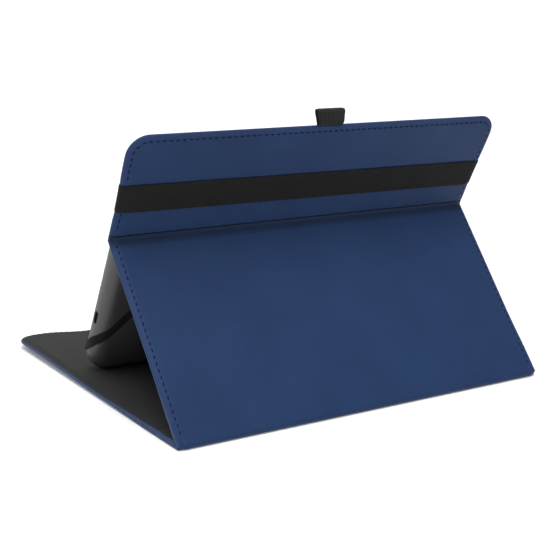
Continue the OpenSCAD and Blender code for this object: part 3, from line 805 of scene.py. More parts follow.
def resample(pts, step):
    pts = np.asarray(pts, float)
    s = np.concatenate([[0], np.cumsum(np.linalg.norm(np.diff(pts, axis=0), axis=1))])
    n = max(2, int(round(s[-1] / step)) + 1)
    q = np.linspace(0, s[-1], n)
    return np.stack([np.interp(q, s, pts[:, k]) for k in range(pts.shape[1])], 1)


def round_path(pts, r, n=8):
    """Polyline with its corners rounded by quadratic arcs of about radius r."""
    pts = [np.asarray(p, float) for p in pts]
    out = [pts[0]]
    for a, b, c in zip(pts[:-2], pts[1:-1], pts[2:]):
        ua, uc = a - b, c - b
        la, lc = np.linalg.norm(ua), np.linalg.norm(uc)
        k = min(r, la * 0.49, lc * 0.49)
        p, q = b + ua / la * k, b + uc / lc * k
        for t in np.linspace(0, 1, n):
            out.append((1 - t) ** 2 * p + 2 * t * (1 - t) * b + t * t * q)
    out.append(pts[-1])
    return np.array(out)


# ------------------------------------------------------------------ build: covers
PANELS = {
    "front_cover": (FRONT, 2.4, 192.3, True, 0.5, 0.0, 0.3),
    "spine": (SPINE, 2.4, 18.4, False, 0.5, 0.10, 1.1),
    "stand": (STAND, 4.6, 121.6, False, 0.10, 0.5, 2.0),
    "upper": (UPPER, 7.2, UP_LEN, True, 0.5, 0.0, 2.9),
}
LABEL = {"front_cover": "front_cover", "spine": "spine", "stand": "kickstand", "upper": "upper_panel"}


def front_bow(x, u):
    """The front cover's free left corner stands 2.4 mm proud of the table, as in the photograph."""
    return -2.4 * smooth(78.0, 112.0, x) * smooth(60.0, 170.0, u)


def flare(o):
    """The upper panel widens a little towards its free edge, and the band pulls its edges in."""
    co = np.empty(len(o.data.vertices) * 3, np.float32)
    o.data.vertices.foreach_get("co", co)
    p = co.reshape(-1, 3).astype(float) / MM
    x = p[:, 0]
    u = (p[:, 1] - UPPER.p[0]) * UPPER.e[0] + (p[:, 2] - UPPER.p[1]) * UPPER.e[1]
    pull = 0.5 * np.exp(-(((u - BAND_U + x * math.tan(BAND_TILT)) / 10.5) ** 4)) * smooth(126.0, 129.0, np.abs(x))
    p[:, 0] = x + np.sign(x) * (1.3 * smooth(14.0, 58.0, u) * np.abs(x) / HW - pull)
    o.data.vertices.foreach_set("co", (p * MM).astype(np.float32).ravel())
    o.data.update()
    return o


for body, (fr, u0, u1, free, drop0, drop1, seed) in PANELS.items():
    bow = front_bow if body == "front_cover" else None
    s = skin(LABEL[body] + "_leather", fr, u0, u1, free, drop0, drop1, seed, bow=bow)
    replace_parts(s, body + "_skin")
    l = lining_sheet(LABEL[body] + "_lining", fr, u0, u1, free, seed, bow=bow)
    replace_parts(l, body + "_lining")
    gaps = {"front_cover": (0.6, 0), "spine": (0.6, 0.6), "stand": (0.4, 0.6), "upper": (0.6, 0)}[body]
    out_paths = seam_path(u0, u1, free, SEAM, *gaps)
    keep = (lambda x, u: abs(u - BAND_U + x * math.tan(BAND_TILT)) > 9.6) if body == "upper" else None
    level = 1.62 if body in ("stand", "upper") else 1.46
    st = stitch_mesh(LABEL[body] + "_stitches", fr, out_paths, level, 1, M_THREAD, bow=bow, keep=keep)
    si = stitch_mesh(LABEL[body] + "_lining_stitches", fr, out_paths, -1.50, -1, M_THREAD_IN, radius=0.27, bow=bow, keep=keep)
    if body == "upper":
        for piece in (s, l, st, si):
            flare(piece)
    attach(s, body)
    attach(l, body)
    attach(st, body)
    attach(si, body)


def bowed_board():
    """The front cover's board, bent with the cover at its free left corner."""
    src = NODES["front_cover_board"]
    me = src.data.copy()
    me.transform(src.matrix_world)
    bm = bmesh.new()
    bm.from_mesh(me)
    bmesh.ops.remove_doubles(bm, verts=bm.verts[:], dist=1e-7)
    planes = [((x_ * MM, 0, 0), (1, 0, 0)) for x_ in np.arange(79.0, 126.0, 3.0)]
    planes += [((0, (A[0] - u_) * MM, 0), (0, 1, 0)) for u_ in np.arange(60.0, 188.0, 6.0)]
    for co, no in planes:
        bmesh.ops.bisect_plane(bm, geom=bm.verts[:] + bm.edges[:] + bm.faces[:], plane_co=co, plane_no=no, dist=1e-7)
    for vt in bm.verts:
        vt.co.z -= float(front_bow(vt.co.x / MM, A[0] - vt.co.y / MM)) * MM
    bm.to_mesh(me)
    bm.free()
    o = bpy.data.objects.new("front_cover_core", me)
    bpy.context.scene.collection.objects.link(o)
    me.materials.clear()
    me.materials.append(M_BOARD)
    me.polygons.foreach_set("material_index", [0] * len(me.polygons))
    me.polygons.foreach_set("use_smooth", [False] * len(me.polygons))
    return o


core = bowed_board()
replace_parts(core, "front_cover_board")
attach(core, "front_cover")


# ------------------------------------------------------------------ build: folds
def run(fr, pairs):
    """Section points and their neutral points from (u, w) pairs in one panel's frame."""
    return [fr.p + u * fr.e + w * fr.n for u, w in pairs], [fr.p + u * fr.e for u, w in pairs]


# front fold, flat on the table, flush with both panels
half_sec = [(7.4, 1.92), (6.4, 1.97), (5.0, 1.97), (3.6, 1.97), (2.4, 1.96), (1.5, 1.93), (0.8, 1.88), (0.4, 1.85)]
sec = [(-u, w) for u, w in half_sec] + [(0.0, 1.84)] + list(reversed(half_sec))
o_, n_ = run(SPINE, sec)
w_a = fold_strip("front_fold_leather", o_, n_, [1.84] * len(o_), M_LEATHER, seed=0.5, amp=0.15)
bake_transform(w_a)
half_sec = [(6.2, -1.95), (5.4, -2.02), (4.2, -2.02), (3.0, -2.0), (2.0, -1.95), (1.2, -1.88), (0.6, -1.82)]
sec = [(-u, w) for u, w in half_sec] + [(0.0, -1.80)] + list(reversed(half_sec))
o_, n_ = run(SPINE, sec)
w_al = fold_strip("front_fold_lining", o_, n_, [0.0] * len(o_), M_LINING, outside=False, seed=0.9, wobble=0.03, amp=0.15)
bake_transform(w_al)

# rear fold: leather taut round the outside, lining pleated on the inside
bis = np.array([-math.cos(math.radians(25)), math.sin(math.radians(25))])
per = np.array([math.sin(math.radians(25)), math.cos(math.radians(25))])
flat_s = [(9.6, 1.92), (8.6, 1.97), (7.0, 1.97), (5.4, 1.97), (4.0, 1.97), (2.6, 1.97), (1.2, 1.97)]
o_, n_ = run(SPINE, [(23 - s_, w) for s_, w in flat_s])
bk = [min(1.84, 0.466 * s_ - 0.05) for s_, w in flat_s]
turn = [math.radians(th) for th in np.linspace(-90, 40, 18)]
o_ += [B + 1.97 * np.array([math.cos(th), math.sin(th)]) for th in turn]
n_ += [B.copy() for th in turn]
bk += [-0.05] * len(turn)
o2, n2 = run(STAND, [(s_, w) for s_, w in reversed(flat_s)])
o_, n_ = o_ + o2, n_ + n2
bk += [min(1.84, 0.466 * s_ - 0.05) for s_, w in reversed(flat_s)]
rear_amp = np.concatenate([np.full(len(flat_s), 0.15), 0.15 + 0.95 * np.sin(np.linspace(0, math.pi, len(turn))) ** 0.7, np.full(len(flat_s), 0.15)])
w_b = fold_strip("rear_fold_leather", o_, n_, bk, M_LEATHER, seed=1.7, amp=rear_amp)
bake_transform(w_b)
pl = [(5.95, -0.78), (5.68, -0.61), (5.0, -0.40), (4.2, -0.24), (3.4, -0.17), (2.7, -0.15)]
tip = [(2.1 - 0.15 * math.cos(t), 0.15 * math.sin(t)) for t in np.linspace(-math.pi / 2, math.pi / 2, 11)]
pleat = pl + tip + [(a, -b) for a, b in reversed(pl)]
pleat = [B + r * bis + q * per for r, q in pleat]
w_bl = strip_mesh("rear_fold_lining", pleat, 0.25, M_LINING, half=128.85, seed=2.2, flip=-1)
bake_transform(w_bl)

# lower crease, between kickstand and crease strip
st_pt = lambda s, w: STAND.p + (124.0 - s) * STAND.e + w * STAND.n
up_pt = lambda u, w: UPPER.p + u * UPPER.e + w * UPPER.n
half_ang = math.radians((114.7 - 50) / 2)
mdir = (STAND.n + UPPER.n) / np.linalg.norm(STAND.n + UPPER.n)
w_off, R = 1.97, 2.5
corner = C + mdir * (w_off / math.cos(half_ang))
centre = corner + mdir * (R / math.cos(half_ang))
a0, a1 = -STAND.n, -UPPER.n
arc = []
for t in np.linspace(0, 1, 12):
    th = t * 2 * half_ang
    ang = math.atan2(a0[1], a0[0]) - th
    arc.append(centre + R * np.array([math.cos(ang), math.sin(ang)]))
o_, n_ = run(STAND, [(124.0 - s_, w) for s_, w in ((7.4, 1.92), (6.4, 1.97), (5.2, 1.97), (4.0, 1.97), (3.2, 1.97))])
bk = [1.84] * len(o_)
o_ += arc
n_ += [C.copy() for q in arc]
bk += [1.84] * len(arc)
o2, n2 = run(UPPER, [(2.95, 1.90), (3.1, 1.70), (3.22, 1.40), (3.34, 1.05)])
o_, n_, bk = o_ + o2, n_ + n2, bk + [1.84] * len(o2)
groove = up_pt(3.34, 1.5)
near = [np.linalg.norm(q - groove) for q in o_]
# painted shade: the leather is drawn darker within a few millimetres of the groove, where the crease's hollow is in
# shade
w_c = fold_strip("lower_crease_leather", o_, n_, bk, M_LEATHER, seed=3.1, painted_crease_shade=[0.62 * float(1 - smooth(2.2, 8.5, q)) for q in near])
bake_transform(w_c)
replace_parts(w_c, "crease_strip")
o_, n_ = run(STAND, [(124.0 - s_, w) for s_, w in ((6.2, -1.95), (5.4, -2.02), (4.2, -2.02), (3.0, -2.01), (1.6, -2.0), (0.6, -2.0))])
for t in np.linspace(0, 1, 10):
    ang = math.atan2(-STAND.n[1], -STAND.n[0]) - t * 2 * half_ang
    o_.append(C + 2.0 * np.array([math.cos(ang), math.sin(ang)]))
    n_.append(C.copy())
o2, n2 = run(UPPER, [(0.6, -2.0), (1.4, -2.0), (2.4, -1.97)])
o_, n_ = o_ + o2, n_ + n2
w_cl = fold_strip("lower_crease_lining", o_, n_, [0.0] * len(o_), M_LINING, outside=False, seed=3.6)
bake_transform(w_cl)

# upper crease, between crease strip and upper panel: one sharp pressed line
grv = [(3.12, 0.95), (3.28, 0.98), (3.42, 1.22), (3.55, 1.55), (3.75, 1.80), (4.1, 1.92), (4.6, 1.96), (5.6, 1.97), (7.2, 1.97), (8.8, 1.97), (10.2, 1.97), (11.2, 1.97), (12.2, 1.92)]
o_, n_ = run(UPPER, grv)
# painted shade: the leather is drawn darker in the groove and just beside it
w_d = fold_strip("upper_crease_leather", o_, n_, [1.84] * len(o_), M_LEATHER, seed=4.2, painted_crease_shade=[0.62 * float(1 - smooth(3.3, 4.0, u)) for u, w in grv])
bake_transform(w_d)
grl = [(2.2, -1.90), (2.6, -1.97), (3.4, -1.96), (4.0, -1.88), (4.5, -1.83), (5.0, -1.88), (5.8, -1.96), (7.0, -2.02), (8.6, -2.02), (10.2, -2.02), (11.0, -1.95)]
o_, n_ = run(UPPER, grl)
w_dl = fold_strip("upper_crease_lining", o_, n_, [0.0] * len(o_), M_LINING, outside=False, seed=4.8)
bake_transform(w_dl)

# ------------------------------------------------------------------ build: band and pen loop
t = 0.86
hw = HW + 0.12
edge_run = [(HW - 15, -2.42), (HW - 4.6, -2.42), (HW - 1.2, -1.74), (hw, -0.75), (hw, 0.80), (HW - 1.2, 1.72), (HW - 4.6, 2.34)]
pts = [(-x_, w_) for x_, w_ in edge_run] + [(x_, w_) for x_, w_ in reversed(edge_run)]
pts = round_path([np.array(p) for p in pts], 1.2, 7)
dense = [pts[0]]
for a_, b_ in zip(pts[:-1], pts[1:]):
    k = max(1, int(np.linalg.norm(b_ - a_) / 4.0))
    dense += [a_ + (b_ - a_) * (i + 1) / k for i in range(k)]
dense = np.array(dense)
uu = BAND_U - dense[:, 0] * math.tan(BAND_TILT)
# the elastic pulls in a little where it turns the panel's edges, and its edges run a little uneven
mid = UPPER.at(dense[:, 0], uu, dense[:, 1])
tan = np.gradient(mid, axis=0)
tan /= np.linalg.norm(tan, axis=1)[:, None]
side = np.tile(UPPER.way(0, 1, 0), (len(mid), 1))
up = np.cross(side, tan)
if (up[len(up) // 2] @ UPPER.way(0, 0, 1)) < 0:
    up = -up
wid = BAND_W - 0.5 * (1 - smooth(0.0, 9.0, HW - np.abs(dense[:, 0]))) + 0.12 * waves(dense[:, 0] * 2.3, dense[:, 1])
bandmesh = ribbon("band_woven", mid, side, up, BAND_W, t, M_BAND, ribs=13, depth=0.075, nv=104, widths=wid, ends=0.6)
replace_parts(flare(bandmesh), "elastic_band")
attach(bandmesh, "upper")

v1, v2, rl = UP_LEN + 0.4 + 0.9 + 1.2, UP_LEN + 0.4 + 0.9 + 7.8, 1.65
prof = [(UP_LEN - 9.5, 0.33), (UP_LEN - 0.4, 0.36), (UP_LEN + 0.3, 0.52), (UP_LEN + 1.1, 0.98), (v1 - 0.6, 1.42), (v1 + 0.8, 1.62), (v1 + 3.3, 1.72), (v2 - 0.8, rl)]
prof += [(v2 + rl * math.sin(b_), rl * math.cos(b_)) for b_ in np.linspace(0, math.pi, 13)]
prof += [(v2 - 0.8, -rl), (v1 + 3.3, -1.72), (v1 + 0.8, -1.62), (v1 - 0.6, -1.42), (UP_LEN + 1.1, -0.98), (UP_LEN + 0.3, -0.52), (UP_LEN - 0.4, -0.36), (UP_LEN - 9.5, -0.33)]
prof = resample(prof, 0.45)
mid = UPPER.at(1.0 + 3.0 * smooth(UP_LEN, v2 + rl, prof[:, 0]), prof[:, 0], prof[:, 1])
tan = np.gradient(mid, axis=0)
tan /= np.linalg.norm(tan, axis=1)[:, None]
side = np.tile([1.0, 0.0, 0.0], (len(mid), 1))
up = np.cross(side, tan)
up /= np.linalg.norm(up, axis=1)[:, None]
k = len(mid) // 2
if up[k] @ UPPER.way(0, 1, 0) < 0:
    up = -up
wid = 17.8 + 1.7 * smooth(UP_LEN, v2 + rl, prof[:, 0])
loop = ribbon("pen_loop_elastic", mid, side, up, 21.0, 0.86, M_LOOP, ribs=10, depth=0.22, nv=96, widths=wid, ends=0.3)
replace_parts(loop, "pen_loop")
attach(loop, "upper")

# ------------------------------------------------------------------ build: tray
ang = np.radians(np.linspace(0, 90, 16))
om = np.concatenate([8 * (1 - np.cos(ang)), [9.5, 12.0, 16.0]])
im = np.concatenate([6.4 * (1 - np.cos(ang)), [8.0, 10.6, 14.4]])
W0, U0, U1 = SX, TRAY_LO, TRAY_UP
nmx, nmu = 44, 28


def tray_lines(length, marks, n):
    mid_ = np.linspace(marks[-1], length - marks[-1], n + 1)[1:-1]
    return np.concatenate([marks, mid_, length - marks[::-1]])


X, U, d = plate(-W0, W0, U0, U1, tray_lines(2 * W0, om, nmx), tray_lines(U1 - U0, om, nmu), 16.0, 16.0)
Wt = BACK_W - 8 + np.sqrt(np.maximum(64 - np.clip(8 - d, 0, 8) ** 2, 0))
Xi, Ui, di = plate(-W0 + 1.6, W0 - 1.6, U0 + 1.6, U1 - 1.6, tray_lines(2 * W0 - 3.2, im, nmx), tray_lines(U1 - U0 - 3.2, im, nmu), 14.4, 14.4)
Wi = BACK_W - 1.6 - 6.4 + np.sqrt(np.maximum(40.96 - np.clip(6.4 - di, 0, 6.4) ** 2, 0))
nx, ny = X.shape
n = nx * ny
v = [np.stack([X.ravel(), U.ravel(), Wt.ravel()], 1), np.stack([Xi.ravel(), Ui.ravel(), Wi.ravel()], 1)]
loop_o = rim_loop(nx, ny)
loop_i = loop_o + n
po, pi_ = v[0][loop_o], v[1][loop_o]
faces = [grid_faces(nx, ny), grid_faces(nx, ny, n, True)]
rim = [(0, -12.2), (0, -13.25), (0.07, -13.6), (0.28, -13.88), (0.6, -14.0), (1.0, -14.0), (1.32, -13.88), (1.53, -13.6), (1.6, -13.25), (1.6, -12.2)]
base, last = 2 * n, loop_o
for dd, ww in rim:
    q = po[:, :2] + (pi_[:, :2] - po[:, :2]) * (dd / 1.6)
    v.append(np.column_stack([q, np.full(len(q), ww)]))
    cur = base + np.arange(len(q))
    faces.append(bridge(last, cur))
    last, base = cur, base + len(q)
faces.append(bridge(last, loop_i))
v = np.concatenate(v)
tray = make("tray_shell", UPPER.at(v[:, 0], v[:, 1], v[:, 2]), np.concatenate(faces).tolist(), M_TRAY)


def cutter(pts_uvw, axis_len):
    """Prism through the points (x, u, w), pushed along axis_len."""
    p = np.array(pts_uvw, float)
    q = p + np.array(axis_len, float)
    v_ = np.concatenate([p, q])
    m_ = len(p)
    f_ = [list(range(m_)), list(range(2 * m_ - 1, m_ - 1, -1))]
    f_ += [[i, (i + 1) % m_, m_ + (i + 1) % m_, m_ + i] for i in range(m_)]
    return v_, f_


def cut(obj, parts):
    vs, fs, base_ = [], [], 0
    for v_, f_ in parts:
        vs.append(UPPER.at(v_[:, 0], v_[:, 1], v_[:, 2]))
        fs += [[i + base_ for i in f] for f in f_]
        base_ += len(v_)
    c = make("cut_tool", np.concatenate(vs), fs, None)
    mod = obj.modifiers.new("cut", "BOOLEAN")
    mod.operation, mod.solver, mod.object = "DIFFERENCE", "EXACT", c
    dg = bpy.context.evaluated_depsgraph_get()
    me = bpy.data.meshes.new_from_object(obj.evaluated_get(dg))
    obj.modifiers.clear()
    old = obj.data
    obj.data = me
    bpy.data.meshes.remove(old)
    bpy.data.objects.remove(c)
    me.polygons.foreach_set("use_smooth", [True] * len(me.polygons))
    me.set_sharp_from_angle(angle=math.radians(38))


PORT_U, PORT_W = -65.6, FRONT_W + 3.2
oval = [(SX - 6, PORT_U + s * 2.9 + s * 1.6 * math.cos(a_), PORT_W + 1.6 * math.sin(a_)) for s, rg in ((1, np.linspace(-90, 90, 13)), (-1, np.linspace(90, -90, 13))) for a_ in np.radians(rg)]
slots = [
    cutter([(s * (SX - 21.7) - 6, TRAY_LO - 3, FRONT_W + 1.8), (s * (SX - 21.7) + 6, TRAY_LO - 3, FRONT_W + 1.8), (s * (SX - 21.7) + 6, TRAY_LO - 3, FRONT_W + 2.8), (s * (SX - 21.7) - 6, TRAY_LO - 3, FRONT_W + 2.8)], (0, 6, 0))
    for s in (-1, 1)
]
cut(tray, [cutter(oval, (12, 0, 0))] + slots)
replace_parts(tray, "holder_tray")
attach(tray, "upper")

# felt pad on the tray's floor, foam pad behind it
px, pu0, pu1, pr = SX - 9, TRAY_LO + 9, TRAY_UP - 9, 7.0
pm = np.array([0, 0.08, 0.2, 0.4, 0.8, 1.4, 2.4, 4.0, 7.0])
X, U, d = plate(-px, px, pu0, pu1, lines(2 * px, pm, pm, 4.0), lines(pu1 - pu0, pm, pm, 4.0), pr, pr)
lowp = BACK_W - 1.6 - 0.8 + 0.55 * (1 - np.sqrt(np.clip(1 - np.clip(1 - d / 0.6, 0, 1) ** 2, 0, 1))) + 0.05 * smooth(1, 5, d) * (1 + waves(X, U, 5.0)) / 2
pad = slab("tray_felt_pad", UPPER, X, U, lowp, np.full_like(X, BACK_W - 1.6 - 0.02), M_FELT)
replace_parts(pad, "tray_pad")
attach(pad, "upper")
fm = np.array([0, 0.1, 0.3, 0.7, 1.5, 3.0])
X, U, d = plate(-88, 88, 13, 56, lines(176, fm, fm, 5.0), lines(43, fm, fm, 5.0), 3.0, 3.0)
foam = slab("bonding_foam", UPPER, X, U, np.full_like(X, -2.02), np.full_like(X, BACK_W + 0.02), M_FOAM)
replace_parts(foam, "tray_mount_pad")
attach(foam, "upper")

# ------------------------------------------------------------------ build: corner straps
ARC = 8 * math.pi / 2


def tray_wrap(a, u, lift):
    """Point on the tray from the unrolled surface: a is the way up the side wall from the rim, then over
    the rounded edge and in across the back; below 0 it turns round the rim on to the front plane, and there
    a u beyond the bottom edge goes round that rim, along the bottom wall and into the strap's slot."""
    a, u, lift = np.broadcast_arrays(np.asarray(a, float), np.asarray(u, float), np.asarray(lift, float))
    flat, rr = 2.5, 0.7
    th = np.clip((a - flat) / 8, 0, math.pi / 2)
    x = np.where(a <= flat, SX + lift, SX - 8 + (8 + lift) * np.cos(th))
    w = np.where(a <= flat, FRONT_W + a, BACK_W - 8 + (8 + lift) * np.sin(th))
    x = x - np.clip(a - flat - ARC, 0, None)
    ph = np.clip((rr - a) / rr, 0, math.pi / 2)
    front = a < rr
    x = np.where(front, SX - rr + (rr + lift) * np.cos(ph) + np.clip(a + 0.4, None, 0), x)
    w = np.where(front, FRONT_W + rr - (rr + lift) * np.sin(ph), w)
    c = np.where(a < -0.4, TRAY_LO + rr - u, -1.0)
    ps = np.clip(c / rr, 0, math.pi / 2)
    uu_, ww_ = TRAY_LO + rr - (rr + lift) * np.sin(ps), FRONT_W + rr - (rr + lift) * np.cos(ps)
    ww_ = ww_ + np.clip(c - 1.1, 0, 1.1)
    ch = np.clip((c - 2.2) / 0.45, 0, math.pi / 2)
    turned = c > 2.2
    uu_ = np.where(turned, TRAY_LO - lift * np.cos(ch) + np.clip(c - 2.9, 0, None), uu_)
    ww_ = np.where(turned, FRONT_W + 1.8 + lift * np.sin(ch), ww_)
    return x, np.where(c > 0, uu_, u), np.where(c > 0, ww_, w)


def wrap_ribbon(name, cl, sgn, width=STRAP_W, thick=0.78, lift=0.06, ribs=5, depth=0.08, nv=40):
    """Elastic strap laid on the tray's side and back along the centreline cl of (a, u) points."""
    cl = resample(cl, 0.55)
    tg = np.gradient(cl, axis=0)
    tg /= np.linalg.norm(tg, axis=1)[:, None]
    pr_ = np.stack([-tg[:, 1], tg[:, 0]], 1)
    vs = np.linspace(-1, 1, nv + 1)
    rib = depth * 0.5 * (1 - np.cos(2 * math.pi * ribs * (vs + 1) / 2)) * (np.abs(vs) < 0.98)
    edge = np.clip(np.abs(vs) ** 14 * 0.6, 0, 1)
    rings = []
    for i in range(len(cl)):
        p = cl[i] + np.outer(vs * width / 2, pr_[i])
        hi = lift + thick - rib - edge * thick * 0.5
        lo = lift + rib * 0.4 + edge * thick * 0.35
        x1, u1, w1 = tray_wrap(p[:, 0], p[:, 1], hi)
        x0, u0_, w0 = tray_wrap(p[:, 0], p[:, 1], lo)
        rings.append(np.concatenate([np.stack([sgn * x1, u1, w1], 1), np.stack([sgn * x0, u0_, w0], 1)[::-1]]))
    v_ = np.concatenate(rings)
    L = 2 * (nv + 1)
    fs = []
    for r in range(len(rings) - 1):
        a_ = r * L + np.arange(L)
        b_ = r * L + (np.arange(L) + 1) % L
        fs += np.stack([a_, b_, b_ + L, a_ + L], 1).tolist()
    for bs, rev in ((0, True), ((len(rings) - 1) * L, False)):
        for k in range(nv):
            q = [bs + k, bs + k + 1, bs + L - 2 - k, bs + L - 1 - k]
            fs.append(q[::-1] if rev else q)
    return make(name, UPPER.at(v_[:, 0], v_[:, 1], v_[:, 2]), fs, M_STRAP)


US = TRAY_LO + 21.7
SLOPE = math.tan(math.radians(129 - 90))  # inward travel per unit up on the back, 129 degrees in plan
STRAPS = {"left": 1, "right": -1}
for label, sgn in STRAPS.items():
    # lower strap: slot in the bottom wall, across the corner in front, over the side, up the back to its anchor
    inward = lambda a: 8 * (1 - math.cos(min((a - 2.5) / 8, math.pi / 2))) + max(0.0, a - 2.5 - ARC)
    a_end = 2.5 + ARC + (SX - 8 - 43.35)
    u_rim = US - 1.0 - 0.76 * 5.5
    # it lies up to 1.5 mm above the CAD strap where it turns on to the back, and meets it at the anchor
    rise = lambda a: US + inward(a) / SLOPE + 1.5 * (1 - inward(a) / inward(a_end)) + 2.4 * math.exp(-(((a - 11.5) / 6.5) ** 2))
    cl = [(-22.1, TRAY_LO - 4.0), (-21.6, TRAY_LO + 0.2), (-0.4, u_rim - 0.1), (4.4, rise(5.57) - 2.4)]
    cl += [(a_, rise(a_)) for a_ in np.linspace(6.0, 2.5 + ARC, 9)] + [(a_end, rise(a_end))]
    cl = round_path([np.array(c) for c in cl], 3.0, 9)
    s_lo = wrap_ribbon("strap_low_" + label, cl, sgn, width=5.5)
    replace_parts(s_lo, "strap_lower_" + label)
    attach(s_lo, "upper")

    # upper strap: a closed loop round the corner, flush with the tray, the same line in front and behind
    g = -0.28
    e1 = np.array([SX + g, TRAY_UP - 24.0])
    e2 = np.array([SX - 24.0, TRAY_UP + g])
    dv = (e2 - e1) / np.linalg.norm(e2 - e1)
    rows = []
    back, front = BACK_W - 0.28, FRONT_W + 0.28
    # a ring of points: back face from side to top, down the top wall, front face back to the side, up the side wall
    def edge_w(p):
        """Height of the back surface at a plan point, following the rounded edge."""
        dx, du = SX - p[0], TRAY_UP - p[1]
        dd = min(dx, du)
        if dd >= 8:
            return back
        q = max(8 - dd, 0)
        return BACK_W - 8 + math.sqrt(max(7.72**2 - min(q, 7.72) ** 2, 0))

    ring = []
    for tt in np.linspace(0, 1, 26):
        p = e1 + (e2 - e1) * tt
        ring.append((p[0], p[1], edge_w(p)))
    ring += [(e2[0], e2[1], BACK_W - 9.0), (e2[0], e2[1], FRONT_W + 0.5), (e2[0] + 0.25, e2[1] - 0.3, front)]
    for tt in np.linspace(0.02, 0.98, 14):
        p = e2 + (e1 - e2) * tt
        ring.append((p[0], p[1], front))
    ring += [(e1[0] - 0.3, e1[1] + 0.25, front), (e1[0], e1[1], FRONT_W + 0.5), (e1[0], e1[1], BACK_W - 9.0)]
    ring = np.array(ring)
    s_ = np.concatenate([[0], np.cumsum(np.linalg.norm(np.diff(np.vstack([ring, ring[:1]]), axis=0), axis=1))])
    cl3 = np.vstack([ring, ring[:1]])
    q_ = np.linspace(0, s_[-1], 121)[:-1]
    ring = np.stack([np.interp(q_, s_, cl3[:, k]) for k in range(3)], 1)
    for _ in range(3):
        ring = (np.roll(ring, 1, 0) + 2 * ring + np.roll(ring, -1, 0)) / 4
    tg = np.roll(ring, -1, 0) - np.roll(ring, 1, 0)
    tg /= np.linalg.norm(tg, axis=1)[:, None]
    # across: in plan square to the diagonal on the faces, along the wall on the two walls
    m_back = np.clip((ring[:, 2] - (BACK_W - 7)) / 4, 0, 1)
    m_front = np.clip(((FRONT_W + 1.2) - ring[:, 2]) / 1.4, 0, 1)
    face = np.maximum(m_back, m_front)[:, None]
    diag = np.array([dv[1], -dv[0], 0.0])
    on_side = (ring[:, 0] > SX - 2)[:, None]
    wall = np.where(on_side, np.array([0, -1.0, 0]), np.array([1.0, 0, 0]))
    ac = face * diag + (1 - face) * wall
    ac = ac - (ac * tg).sum(1)[:, None] * tg
    ac /= np.linalg.norm(ac, axis=1)[:, None]
    upv = np.cross(tg, ac)
    cen = ring.mean(0)
    flipv = np.where(((ring - cen) * upv).sum(1) < 0, -1.0, 1.0)[:, None]
    upv = upv * flipv
    vs = np.linspace(-1, 1, 41)
    rib = 0.04 * (1 - np.cos(2 * math.pi * 5 * (vs + 1) / 2)) * (np.abs(vs) < 0.98)
    hi = 0.39 - rib - np.clip(np.abs(vs) ** 14 * 0.2, 0, 1)
    rings = []
    for i in range(len(ring)):
        b_ = ring[i] + np.outer(vs * STRAP_W / 2, ac[i])
        top_, bot_ = b_ + np.outer(hi, upv[i]), b_ - np.outer(hi, upv[i])
        rr = np.concatenate([top_, bot_[::-1]])
        rr[:, 0] *= sgn
        rings.append(rr)
    v_ = np.concatenate(rings)
    L, N_ = 82, len(rings)
    fs = []
    for r in range(N_):
        a_ = r * L + np.arange(L)
        b_ = r * L + (np.arange(L) + 1) % L
        r2 = ((r + 1) % N_) * L
        fs += np.stack([a_, b_, r2 + (np.arange(L) + 1) % L, r2 + np.arange(L)], 1).tolist()
    s_up = make("strap_high_" + label, UPPER.at(v_[:, 0], v_[:, 1], v_[:, 2]), fs, M_STRAP)
    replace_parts(s_up, "strap_upper_" + label)
    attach(s_up, "upper")

# sewn tabs that hold the straps
tabs, tab_st = [], []
tv, tf = [], []
sv = []
for sgn in (1, -1):
    for (cx, cu, ang_, l0, l1, hw_) in ((SX - 12, TRAY_UP - 12, 135, -5, 5, 4.0), (44.0, 9.4, 129, -3.2, 1.0, 4.0)):
        ca, sa_ = math.cos(math.radians(ang_)), math.sin(math.radians(ang_))
        mk = np.array([0, 0.06, 0.16, 0.35, 0.8])
        xs_ = lines(l1 - l0, mk, mk, 0.8)
        us_ = lines(2 * hw_, mk, mk, 0.8)
        X, U, d = plate(0, l1 - l0, 0, 2 * hw_, xs_, us_, 0.8, 0.8)
        lx, ly = X + l0, U - hw_
        gx, gu = cx + lx * ca - ly * sa_, cu + lx * sa_ + ly * ca
        lo_ = (-3.45 if cu > 20 else -2.64) + 0.28 * (1 - np.sqrt(np.clip(1 - np.clip(1 - d / 0.35, 0, 1) ** 2, 0, 1)))
        nx_, ny_ = X.shape
        base_ = sum(len(q) for q in tv)
        tv.append(np.stack([sgn * gx.ravel(), gu.ravel(), lo_.ravel()], 1))
        tv.append(np.stack([sgn * gx.ravel(), gu.ravel(), np.full(gx.size, -2.02)], 1))
        lp = rim_loop(nx_, ny_) + base_
        tf += (grid_faces(nx_, ny_, base_)).tolist() + grid_faces(nx_, ny_, base_ + nx_ * ny_, True).tolist() + bridge(lp, lp + nx_ * ny_).tolist()
tv = np.concatenate(tv)
tabs = make("strap_tabs", UPPER.at(tv[:, 0], tv[:, 1], tv[:, 2]), tf, M_STRAP)
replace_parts(tabs, "strap_anchors")
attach(tabs, "upper")

